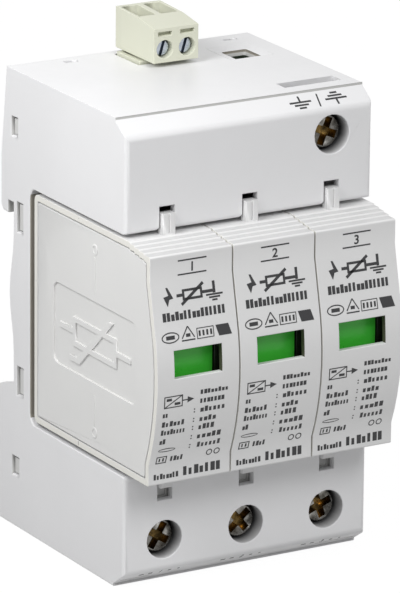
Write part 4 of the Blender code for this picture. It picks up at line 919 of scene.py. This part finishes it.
def wire_funnel():
    """A pale sloping border, a groove in painted shade, and the inner wall of the opening: grey, then black
    painted shade.
    """
    hole_middle = (HOLE_BACK + HOLE_FRONT) / 2
    half = (HOLE_FRONT - HOLE_BACK) / 2 - HOLE_GAP
    half_x = HOLE_HALF - HOLE_GAP
    inner_middle = (FUNNEL_BACK + FUNNEL_FRONT) / 2
    inner_half = (FUNNEL_FRONT - FUNNEL_BACK) / 2
    top = HEIGHT - FUNNEL_SUNK
    rings = [
        ring_of(HOLE_X, hole_middle, half_x, half, top, 0.3),
        ring_of(HOLE_X, hole_middle, half_x - 0.35, half - 0.1, top, 0.5),
    ]
    for inset_x, inset, down, corner in FUNNEL_RINGS:
        size = (FUNNEL_HALF_X - inset_x, inner_half - inset)
        rings.append(ring_of(FUNNEL_X, inner_middle, *size, top - down, corner))
    rings.append(ring_of(HOLE_X, hole_middle, half_x, half, top - FUNNEL_DEEP, 0.3))
    finishes = (HOUSING, HOUSING, BAY_SHADE, BAY_SHADE, FRAME, DEEP_SHADE, DEEP_SHADE, HOUSING)
    moulded("wire_hole_funnel", rings, finishes, "base_cover")


NOSE_RADIUS = 0.55
NOSE_DEPTH = 5.8
NOSES = {"left": -13.3, "right": 21.2}

# The nose's rings: share of its radius, and height over the top face.
NOSE_RINGS = ((1.0, -2.2), (1.0, 0.0), (0.75, 0.18), (0.4, 0.25))


def snap_nose(name, x):
    """The round nose of a snap hook of the frame, in a window of the top face."""
    rings = []
    for share, over in NOSE_RINGS:
        radius = NOSE_RADIUS * share
        rings.append(ring_of(x, NOSE_DEPTH, radius, radius, HEIGHT + over, radius * ROUND_CORNER))
    moulded(name, rings, [HOUSING] * 3, "back_frame", capped=True)


SLOT_FLOOR_DEPTH = 46.0
SLOT_FLOOR_UP = 18.2
TAB_HALF_X = 1.3
TAB_LOW = 19.15
TAB_HIGH = 20.2
TAB_BACK = 47.1
TAB_SHOULDER = 48.6
TAB_FRONT = 48.9


def slot_floor(name, x):
    """The grey floor behind a lower latch slot, with a raised lower lip and a sunk middle whose wall is in
    painted shade.
    """
    rings = [
        upright_ring(x, SLOT_FLOOR_UP, 1.9, 1.8, SLOT_FLOOR_DEPTH - 0.5, 0.3),
        upright_ring(x, SLOT_FLOOR_UP, 1.9, 1.8, SLOT_FLOOR_DEPTH, 0.3),
        upright_ring(x, SLOT_FLOOR_UP + 0.1, 1.3, 1.5, SLOT_FLOOR_DEPTH, 0.2),
        upright_ring(x, SLOT_FLOOR_UP + 0.1, 1.2, 1.4, SLOT_FLOOR_DEPTH - 0.2, 0.2),
    ]
    moulded(name, rings, (FRAME, FRAME, SEAM_AND_SHADE), "base_cover", capped=True)


def tab_end(name, x, node):
    """The chamfered end of a module's lower latch tab."""
    centre = (TAB_LOW + TAB_HIGH) / 2
    half = (TAB_HIGH - TAB_LOW) / 2
    rings = [
        upright_ring(x, centre, TAB_HALF_X, half, TAB_BACK, 0.12),
        upright_ring(x, centre, TAB_HALF_X, half, TAB_SHOULDER, 0.12),
        upright_ring(x, centre + 0.1, TAB_HALF_X - 0.12, half - 0.12, TAB_FRONT, 0.1),
    ]
    moulded(name, rings, (MODULE, MODULE), node, capped=True)


wire_funnel()
for name, x in NOSES.items():
    snap_nose("snap_nose_" + name, x)
for number in MODULES:
    shell = "module_%s_shell" % number
    centre = middle(shell).x / MM
    slot_floor("slot_floor_" + number, centre)
    tab_end("module_%s_tab_end" % number, centre, shell)

# Print and marks, laid on the surfaces with Geometry Nodes

FILM = 0.02
MARK_FILM = 0.01
STAND_OFF = 80.0
ALONG = {"front": (0.0, 1.0, 0.0), "side": (1.0, 0.0, 0.0)}
CAPITAL_SHARE = 0.72

# The limits of a block's width, as shares of the pitch, by the number of their socket.
BLOCK_WIDTHS = {2: 0.52, 3: 0.84}

# A low block's height, as a share of a tall one's.
LOW_BLOCK = 0.74


class Pattern:
    """Flat shapes in millimetres, seen from the front, as x and height, or from the left, as depth and
    height."""

    def __init__(self, view):
        self.view = view
        self.points = []
        self.faces = []

    def spot(self, across, up):
        if self.view == "front":
            return Vector((across, -STAND_OFF, up)) * MM
        return Vector((-STAND_OFF, at_depth(across), up)) * MM

    def take(self, points, faces):
        first = len(self.points)
        self.points += points
        self.faces += [[first + index for index in face] for face in faces]

    def shape(self, corners):
        """A filled shape, its corners anticlockwise as seen."""
        self.take([self.spot(*corner) for corner in corners], [range(len(corners))])

    def bar(self, left, low, right, high):
        self.shape([(left, low), (right, low), (right, high), (left, high)])

    def bars(self, places, low, wide, high):
        """Bars side by side, each starting at one of the places."""
        for left in places:
            self.bar(left, low, left + wide, high)

    def line(self, start, end, wide):
        way = (Vector(end) - Vector(start)).normalized() * wide / 2
        aside = Vector((-way.y, way.x))
        start, end = Vector(start), Vector(end)
        self.shape([start - aside, end - aside, end + aside, start + aside])

    def ring(self, centre, across, tall, wide, sides=28):
        """An oval outline."""
        for step in range(sides):
            corners = []
            for turn, inset in ((step, wide), (step, 0.0), (step + 1, 0.0), (step + 1, wide)):
                angle = 2 * math.pi * (turn % sides) / sides
                reach_x = math.cos(angle) * (across / 2 - inset)
                reach_up = math.sin(angle) * (tall / 2 - inset)
                corners.append(Vector(centre) + Vector((reach_x, reach_up)))
            self.shape(corners)

    def frame(self, left, low, right, high, wide):
        """A rectangular outline."""
        self.bar(left, low, right, low + wide)
        self.bar(left, high - wide, right, high)
        self.bar(left, low + wide, left + wide, high - wide)
        self.bar(right - wide, low + wide, right, high - wide)

    def numeral(self, text, centre, low, tall):
        """A number, standing on a line."""
        curve = bpy.data.curves.new("numeral", "FONT")
        curve.body = text
        curve.align_x = "CENTER"
        curve.size = tall / CAPITAL_SHARE
        curve.offset = 0.03 * tall
        curve.resolution_u = 3
        letters = linked("numeral", curve)
        flat = evaluated_mesh(letters)
        spots = [self.spot(centre + vert.co.x, low + vert.co.y) for vert in flat.vertices]
        self.take(spots, [face.vertices for face in flat.polygons])
        bpy.data.objects.remove(letters)

    def words(self, left, low, right, tall, blocks, seed):
        """A line of blocks in the place of a line of print."""
        values = {
            "From": Vector((left, -STAND_OFF, low)) * MM,
            "Length": (right - left) * MM,
            "Height": tall * MM,
            "Blocks": blocks,
            "Seed": seed,
        }
        row = grown("words", LETTERS, values)
        spots = [vert.co.copy() for vert in row.data.vertices]
        self.take(spots, [list(face.vertices) for face in row.data.polygons])
        bpy.data.objects.remove(row)

    def mesh(self, name):
        made = bpy.data.meshes.new(name)
        made.from_pydata(self.points, [], self.faces)
        return made


def letter_tree():
    """A line of print as small blocks of uneven width and height on one base line."""
    inputs = {"From": "Vector", "Length": "Float", "Height": "Float", "Blocks": "Int", "Seed": "Int"}
    tree = GeometryGroup("letter_blocks", inputs)
    given = tree.given
    pitch = tree.divided(given["Length"], given["Blocks"])
    values = {"Count": given["Blocks"], "Start Location": given["From"], "Offset": tree.vector(x=pitch)}
    line = tree.add("GeometryNodeMeshLine", values).outputs[0]
    wide = tree.add("FunctionNodeRandomValue", data_type="FLOAT")
    tall = tree.add("FunctionNodeRandomValue", data_type="INT")
    for node, limits in ((wide, BLOCK_WIDTHS), (tall, {4: 0, 5: 1})):
        for number, limit in limits.items():
            tree.feed(node.inputs[number], limit)
        tree.feed(node.inputs["Seed"], given["Seed"])
    share = tree.plus(tree.times(tall.outputs[2], 1.0 - LOW_BLOCK), LOW_BLOCK)
    size = tree.vector(tree.times(wide.outputs[1], pitch), 1.0, tree.times(share, given["Height"]))
    sides = {"Size X": 1.0, "Size Y": 1.0, "Vertices X": 2, "Vertices Y": 2}
    square = tree.add("GeometryNodeMeshGrid", sides).outputs[0]
    block = tree.moved(square, rotation=tree.vector(x=math.pi / 2), translation=tree.vector(0.5, 0.0, 0.5))
    copies = {"Points": line, "Instance": block, "Scale": size}
    row = tree.add("GeometryNodeInstanceOnPoints", copies).outputs[0]
    return tree.finish(Geometry=tree.realized(row))


def laid_tree():
    """Lays flat shapes on a surface along one direction, as a thin closed film."""
    inputs = {"Surface": "Object", "Shift": "Vector", "Along": "Vector", "Film": "Float", "Ink": "Material"}
    tree = GeometryGroup("laid_film", inputs)
    given = tree.given
    surface = tree.add("GeometryNodeObjectInfo", {"Object": given["Surface"]}).outputs["Geometry"]
    start = tree.vector_math("ADD", {0: tree.position(), 1: given["Shift"]})
    ray = {"Target Geometry": surface, "Source Position": start, "Ray Direction": given["Along"]}
    hit = tree.add("GeometryNodeRaycast", {**ray, "Ray Length": 2 * STAND_OFF * MM}).outputs["Hit Position"]
    back = tree.vector_math("SCALE", {0: given["Along"], "Scale": tree.times(given["Film"], -0.3)})
    laid = tree.placed(given["Geometry"], tree.vector_math("ADD", {0: hit, 1: back}))
    values = {"Mesh": laid, "Offset": given["Along"], "Individual": False}
    values["Offset Scale"] = tree.times(given["Film"], -1.0)
    raised = tree.add("GeometryNodeExtrudeMesh", values, mode="FACES").outputs["Mesh"]
    under = tree.add("GeometryNodeFlipFaces", {"Mesh": laid}).outputs[0]
    both = {"Geometry": tree.joined([raised, under]), "Distance": MERGE * MM}
    closed = tree.add("GeometryNodeMergeByDistance", both).outputs[0]
    return tree.finish(Geometry=tree.painted(tree.realized(tree.flat(closed)), given["Ink"]))


LETTERS = letter_tree()
LAID = laid_tree()


def lay(name, pattern, surface, node, ink, shift=0.0, film=FILM):
    """Lays a pattern on a dressed piece, riding the body of a node."""
    values = {
        "Surface": surface,
        "Shift": (shift * MM, 0.0, 0.0),
        "Along": ALONG[pattern.view],
        "Film": film * MM,
        "Ink": ink,
    }
    obj = grown(name, LAID, values, pattern.mesh(name))
    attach(obj, BODY_OF[node])


# Places on a module's front: across from its left edge, and up from the floor.
NUMBER_AT = 8.8
NUMBER_LINES = (5.8, 11.8)
NUMBER_LOW = 62.65
HEADING = (2.3, 57.4, 14.8, 60.8)
HEADING_STROKE = 0.55
SUB_LINE = (1.9, 54.8, 15.2, 1.55)
BADGE_LOW = 50.9
BADGE_TALL = 2.0
STATE_LOW = 38.75
STATE_TALL = 2.3
LABEL_LEFT = 1.4
COLON_AT = 7.9
VALUE_LEFT = 9.3
VALUE_RIGHT = 14.7
ROW_TALL = 1.05
OVAL_ROW = 29.65
BOX_ROW = 27.35
FOOT_LOW = 24.3

# The rows of label and value: height, the label's length and blocks, the value's length and blocks.
ROWS = ((36.95, 1.2, 2, 5.4, 6), (35.05, 4.9, 6, 3.7, 4), (33.4, 5.2, 8, 3.4, 4), (31.5, 1.3, 2, 5.2, 5))


def heading(pattern):
    """A bold line of plain symbols: a flash, a varistor and the earth."""
    left, low, right, high = HEADING
    tall = high - low
    mid = (low + high) / 2
    half = HEADING_STROKE / 2
    flash = [(0.9, 0.0), (1.35, 1.2), (2.2, 1.35), (1.15, tall), (0.75, tall), (1.2, 1.95), (0.15, 1.75)]
    pattern.shape([(left + x, low + z) for x, z in flash])
    box_left = left + 4.1
    box_right = left + 8.3
    pattern.bar(left + 2.9, mid - half, box_left, mid + half)
    pattern.frame(box_left, mid - 1.0, box_right, mid + 1.0, 0.45)
    pattern.line((box_left - 0.3, low), (box_right + 0.3, high), HEADING_STROKE)
    stem = right - 1.75
    foot = low + 1.25
    pattern.bar(box_right, mid - half, stem - half, mid + half)
    pattern.bar(stem - half, foot, stem + half, high)
    for step, reach in enumerate((1.75, 1.15, 0.55)):
        top = foot - step * 0.9025 * HEADING_STROKE
        pattern.bar(stem - reach, top - 0.4, stem + reach, top - 0.08)


def badges(pattern):
    """A row of plain shapes: an oval, a triangle on a bar, a framed field and a dark field."""
    low, high = BADGE_LOW, BADGE_LOW + BADGE_TALL
    mid = (low + high) / 2
    pattern.ring((3.1, mid), 3.7, BADGE_TALL, 0.22)
    pattern.bar(2.2, mid - 0.35, 4.0, mid + 0.35)
    pattern.line((5.5, low + 0.5), (6.8, high + 0.6), 0.22)
    pattern.line((6.8, high + 0.6), (8.1, low + 0.5), 0.22)
    pattern.bar(5.4, low, 8.2, low + 0.25)
    pattern.bar(6.35, low + 0.7, 7.25, low + 1.3)
    pattern.frame(8.6, low, 12.2, high, 0.16)
    pattern.bars((9.0, 9.8, 10.6, 11.4), low + 0.5, 0.4, high - 0.5)
    pattern.shape([(12.6, high), (13.2, low), (15.9, low), (15.3, high)])


def state_sign(pattern):
    """A box with a diagonal and an arrow, before the words about the flag."""
    low, high = STATE_LOW, STATE_LOW + STATE_TALL
    mid = (low + high) / 2
    pattern.frame(1.5, low, 5.4, high, 0.2)
    pattern.line((1.6, low + 0.1), (5.3, high - 0.1), 0.2)
    pattern.bar(2.0, high - 0.95, 3.1, high - 0.45)
    pattern.bar(3.7, low + 0.45, 4.9, low + 0.95)
    pattern.bar(5.4, mid - 0.11, 6.4, mid + 0.11)
    pattern.shape([(6.4, mid - 0.6), (7.8, mid), (6.4, mid + 0.6)])


def colon(pattern, base):
    for up in (0.1, 0.65):
        pattern.bar(COLON_AT, base + up, COLON_AT + 0.25, base + up + 0.25)


def front_print(number):
    """All of a module's print, with its pole number between two lines."""
    pattern = Pattern("front")
    for low in (NUMBER_LOW, NUMBER_LOW + 2.65):
        pattern.bar(NUMBER_LINES[0], low, NUMBER_LINES[1], low + 0.27)
    pattern.numeral(number, NUMBER_AT, NUMBER_LOW + 0.6, 1.75)
    heading(pattern)
    pattern.words(*SUB_LINE, 15, 3)
    badges(pattern)
    state_sign(pattern)
    pattern.words(VALUE_LEFT - 0.2, STATE_LOW + 1.75, VALUE_RIGHT + 0.4, 0.85, 8, 5)
    pattern.words(VALUE_LEFT - 0.2, STATE_LOW, VALUE_RIGHT - 0.4, 0.85, 7, 8)
    for step, (base, label_long, label_count, value_long, value_count) in enumerate(ROWS):
        pattern.words(LABEL_LEFT, base, LABEL_LEFT + label_long, ROW_TALL, label_count, 11 + step)
        colon(pattern, base)
        pattern.words(VALUE_LEFT, base, VALUE_LEFT + value_long, ROW_TALL, value_count, 21 + step)
    pattern.ring((3.2, OVAL_ROW + 0.5), 3.6, 0.75, 0.16)
    colon(pattern, OVAL_ROW)
    pattern.words(VALUE_LEFT + 0.3, OVAL_ROW, VALUE_RIGHT, ROW_TALL, 6, 31)
    pattern.frame(LABEL_LEFT, BOX_ROW, LABEL_LEFT + 2.2, BOX_ROW + 1.5, 0.2)
    pattern.bar(LABEL_LEFT + 0.55, BOX_ROW + 0.4, LABEL_LEFT + 0.85, BOX_ROW + 1.1)
    pattern.bar(LABEL_LEFT + 1.3, BOX_ROW + 0.4, LABEL_LEFT + 1.65, BOX_ROW + 1.1)
    pattern.words(4.4, BOX_ROW + 0.2, 7.2, ROW_TALL, 4, 33)
    for centre in (12.6, 14.2):
        pattern.ring((centre, BOX_ROW + 0.7), 1.3, 1.3, 0.2)
    pattern.words(1.1, FOOT_LOW, 6.4, 1.05, 8, 41)
    pattern.words(7.3, FOOT_LOW, 15.4, 1.7, 7, 43)
    return pattern


for number in MODULES:
    shell = "module_%s_shell" % number
    left_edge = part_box(shell)[0].x / MM
    surface = bpy.data.objects[shell + "_look"]
    lay("module_%s_print" % number, front_print(number), surface, shell, INK, left_edge)

SIGN_LOW = 87.4
SIGN_HIGH = 89.15
EARTH_SIGNS = (11.8, 19.4)
EARTH_STEM = 0.7
SLASH_AT = 15.6
TERMINAL_MARK_LOW = 1.75
BASE_SEAM_LOW = 1.25
BASE_SEAM_HIGH = 1.45


def earth_sign(pattern, centre, upright):
    """The earth symbol on the top chamfer, either way up."""
    start, way = (SIGN_HIGH, 1.0) if upright else (SIGN_LOW, -1.0)
    strokes = [(0.2, start, start - way * EARTH_STEM)]
    for step, half in enumerate((2.3, 1.5, 0.75)):
        level = start - way * (EARTH_STEM + 0.4 * step)
        strokes.append((half, level, level - way * 0.24))
    for half, first, second in strokes:
        pattern.bar(centre - half, min(first, second), centre + half, max(first, second))


def base_print():
    """Signs on the chamfers of the base: earth at the top right, and a number under each line terminal."""
    pattern = Pattern("front")
    earth_sign(pattern, EARTH_SIGNS[0], True)
    earth_sign(pattern, EARTH_SIGNS[1], False)
    pattern.line((SLASH_AT - 0.15, SIGN_LOW), (SLASH_AT + 0.25, SIGN_HIGH), 0.3)
    for number in LINE_TERMINALS:
        centre = middle("terminal_screw_" + number).x / MM
        pattern.numeral(number, centre, TERMINAL_MARK_LOW, 0.9)
        for step, reach in enumerate((-4.6, -2.6, 1.6, 3.6)):
            left = centre + reach
            pattern.bar(left, TERMINAL_MARK_LOW + 0.25, left + 1.0 - 0.2 * step, TERMINAL_MARK_LOW + 0.6)
    return pattern


lay("base_print", base_print(), COVER, "base_cover", INK)

# Small ticks at the seam of the first module's side, in seam and shade grey: depth, height and how far they
# reach each way.
SEAM_TICKS = (
    ((30.6, 67.1), (0.15, 0.4, 0.15)),
    ((13.95, 51.1), (0.35, 0.15, 0.45)),
    ((30.7, 23.9), (0.15, 0.4, 0.15)),
)

ticks = Pattern("side")
for (depth, up), (back, tall, forward) in SEAM_TICKS:
    ticks.bar(depth - back, up - tall, depth + forward, up + tall)
surface = bpy.data.objects["module_1_shell_look"]
lay("module_1_seam_ticks", ticks, surface, "module_1_shell", SEAM_AND_SHADE, film=MARK_FILM)

# A dark line along the foot of the front, in the grey of seams and painted shade.
seams = Pattern("front")
seams.bar(-WIDTH / 2 + 0.8, BASE_SEAM_LOW, WIDTH / 2 - 1.0, BASE_SEAM_HIGH)
lay("base_seam", seams, COVER, "base_cover", SEAM_AND_SHADE, film=MARK_FILM)

# Camera, light and floor

FOCAL_PIXELS = 5641.0
PICTURE = (400, 593)
SENSOR = 36.0
AZIMUTH = math.radians(30.45)
PITCH_DOWN = math.radians(17.23)
ROLL = math.radians(0.55)
CAMERA_PLACE = (-510.5, -868.8, 360.9)
LAMP_SPREAD = math.radians(28)
WHITE = (1.0, 1.0, 1.0, 1.0)
AMBIENT = 0.36
ABOVE = {"direction": (0.0, -0.69, 0.725), "irradiance": 0.385}
LEFT = {"direction": (-0.69, -0.2, 0.69), "distance": 0.225, "irradiance": 0.58}
FLOOR_REACH = 3.0
FLOOR_TONES = (0.44, 0.46)
FLOOR_SEEN_EXTRA = 0.5
FLOOR_GLOW = 1.03
FLOOR_SEEN = 0.93


def camera_axes():
    """The camera's right, up and forward directions."""
    level = math.cos(PITCH_DOWN)
    forward = Vector((math.sin(AZIMUTH) * level, math.cos(AZIMUTH) * level, -math.sin(PITCH_DOWN)))
    right = Vector((math.cos(AZIMUTH), -math.sin(AZIMUTH), 0.0))
    up = right.cross(forward)
    turned_right = math.cos(ROLL) * right + math.sin(ROLL) * up
    turned_up = -math.sin(ROLL) * right + math.cos(ROLL) * up
    return turned_right, turned_up, forward


def set_camera():
    right, up, forward = camera_axes()
    data = bpy.data.cameras.new("camera")
    data.sensor_width = SENSOR
    data.lens = FOCAL_PIXELS * SENSOR / max(PICTURE)
    data.clip_start = 0.05
    data.clip_end = 100.0
    camera = linked("camera", data)
    turn = Matrix((right, up, -forward)).transposed().to_4x4()
    camera.matrix_world = Matrix.Translation(Vector(CAMERA_PLACE) * MM) @ turn
    bpy.context.scene.camera = camera


def hang(name, data, direction, target, distance):
    """Puts a lamp at a distance from a target in a direction, turned to the target."""
    way = Vector(direction).normalized()
    turn = way.to_track_quat("Z", "Y").to_matrix().to_4x4()
    linked(name, data).matrix_world = Matrix.Translation(target + way * distance) @ turn


def soft_lamp(name, direction, irradiance):
    """A wide, distant lamp that lights the object from a direction with this irradiance over pi."""
    data = bpy.data.lights.new(name, "SUN")
    data.angle = LAMP_SPREAD
    data.energy = irradiance * math.pi
    hang(name, data, direction, Vector(), 1.0)


def near_lamp(name, direction, distance, irradiance):
    """A round lamp close to the object, so that its light falls off over the object's length."""
    data = bpy.data.lights.new(name, "AREA")
    data.shape = "DISK"
    data.size = 0.5 * distance
    data.energy = irradiance * (math.pi * distance) ** 2
    hang(name, data, direction, (COVER_LOW + COVER_HIGH) / 2, distance)


def seen_directly(nodes, path):
    """1 for what the camera sees, also in a mirror or through glass, and 0 for light that is scattered."""
    mirrored = nodes.math("MAXIMUM", path["Is Glossy Ray"], path["Is Transmission Ray"])
    return nodes.math("MAXIMUM", path["Is Camera Ray"], mirrored)


def set_world():
    """Even light from everywhere, and white for what the camera and mirrors see."""
    world = bpy.data.worlds.new("studio")
    world.use_nodes = True
    world.node_tree.nodes.clear()
    nodes = Nodes(world.node_tree)
    seen = seen_directly(nodes, nodes.add("ShaderNodeLightPath").outputs)
    even = nodes.add("ShaderNodeBackground", {"Color": WHITE, "Strength": AMBIENT}).outputs[0]
    white = nodes.add("ShaderNodeBackground", {"Color": WHITE, "Strength": 1.0}).outputs[0]
    mix = nodes.add("ShaderNodeMixShader", {"Fac": seen, 1: even, 2: white})
    nodes.add("ShaderNodeOutputWorld", {"Surface": mix.outputs[0]})
    bpy.context.scene.world = world


def white_floor():
    """A white floor that keeps the object's shadow as a faint grey."""
    mesh = bpy.data.meshes.new("floor")
    sides = ((-1, -1), (1, -1), (1, 1), (-1, 1))
    mesh.from_pydata([(x * FLOOR_REACH, y * FLOOR_REACH, 0.0) for x, y in sides], [], [(0, 1, 2, 3)])
    floor = linked("floor", mesh)
    material, nodes, shader = new_material("floor_white")
    shader.inputs["Roughness"].default_value = 0.9
    path = nodes.add("ShaderNodeLightPath").outputs
    soft = nodes.spread(nodes.noise(3.0), *FLOOR_TONES)
    extra = nodes.times(path["Is Camera Ray"], FLOOR_SEEN_EXTRA)
    nodes.feed(shader.inputs["Base Color"], nodes.plus(soft, extra))
    glow = nodes.add("ShaderNodeEmission", {"Color": WHITE, "Strength": FLOOR_GLOW}).outputs[0]
    share = nodes.times(seen_directly(nodes, path), FLOOR_SEEN)
    mix = nodes.add("ShaderNodeMixShader", {"Fac": share, 1: shader.outputs[0], 2: glow})
    nodes.feed(material.node_tree.nodes["Material Output"].inputs["Surface"], mix.outputs[0])
    mesh.materials.append(material)


set_camera()
set_world()
soft_lamp("lamp_above", **ABOVE)
near_lamp("lamp_left", **LEFT)
white_floor()
bpy.context.scene.view_settings.view_transform = "Standard"
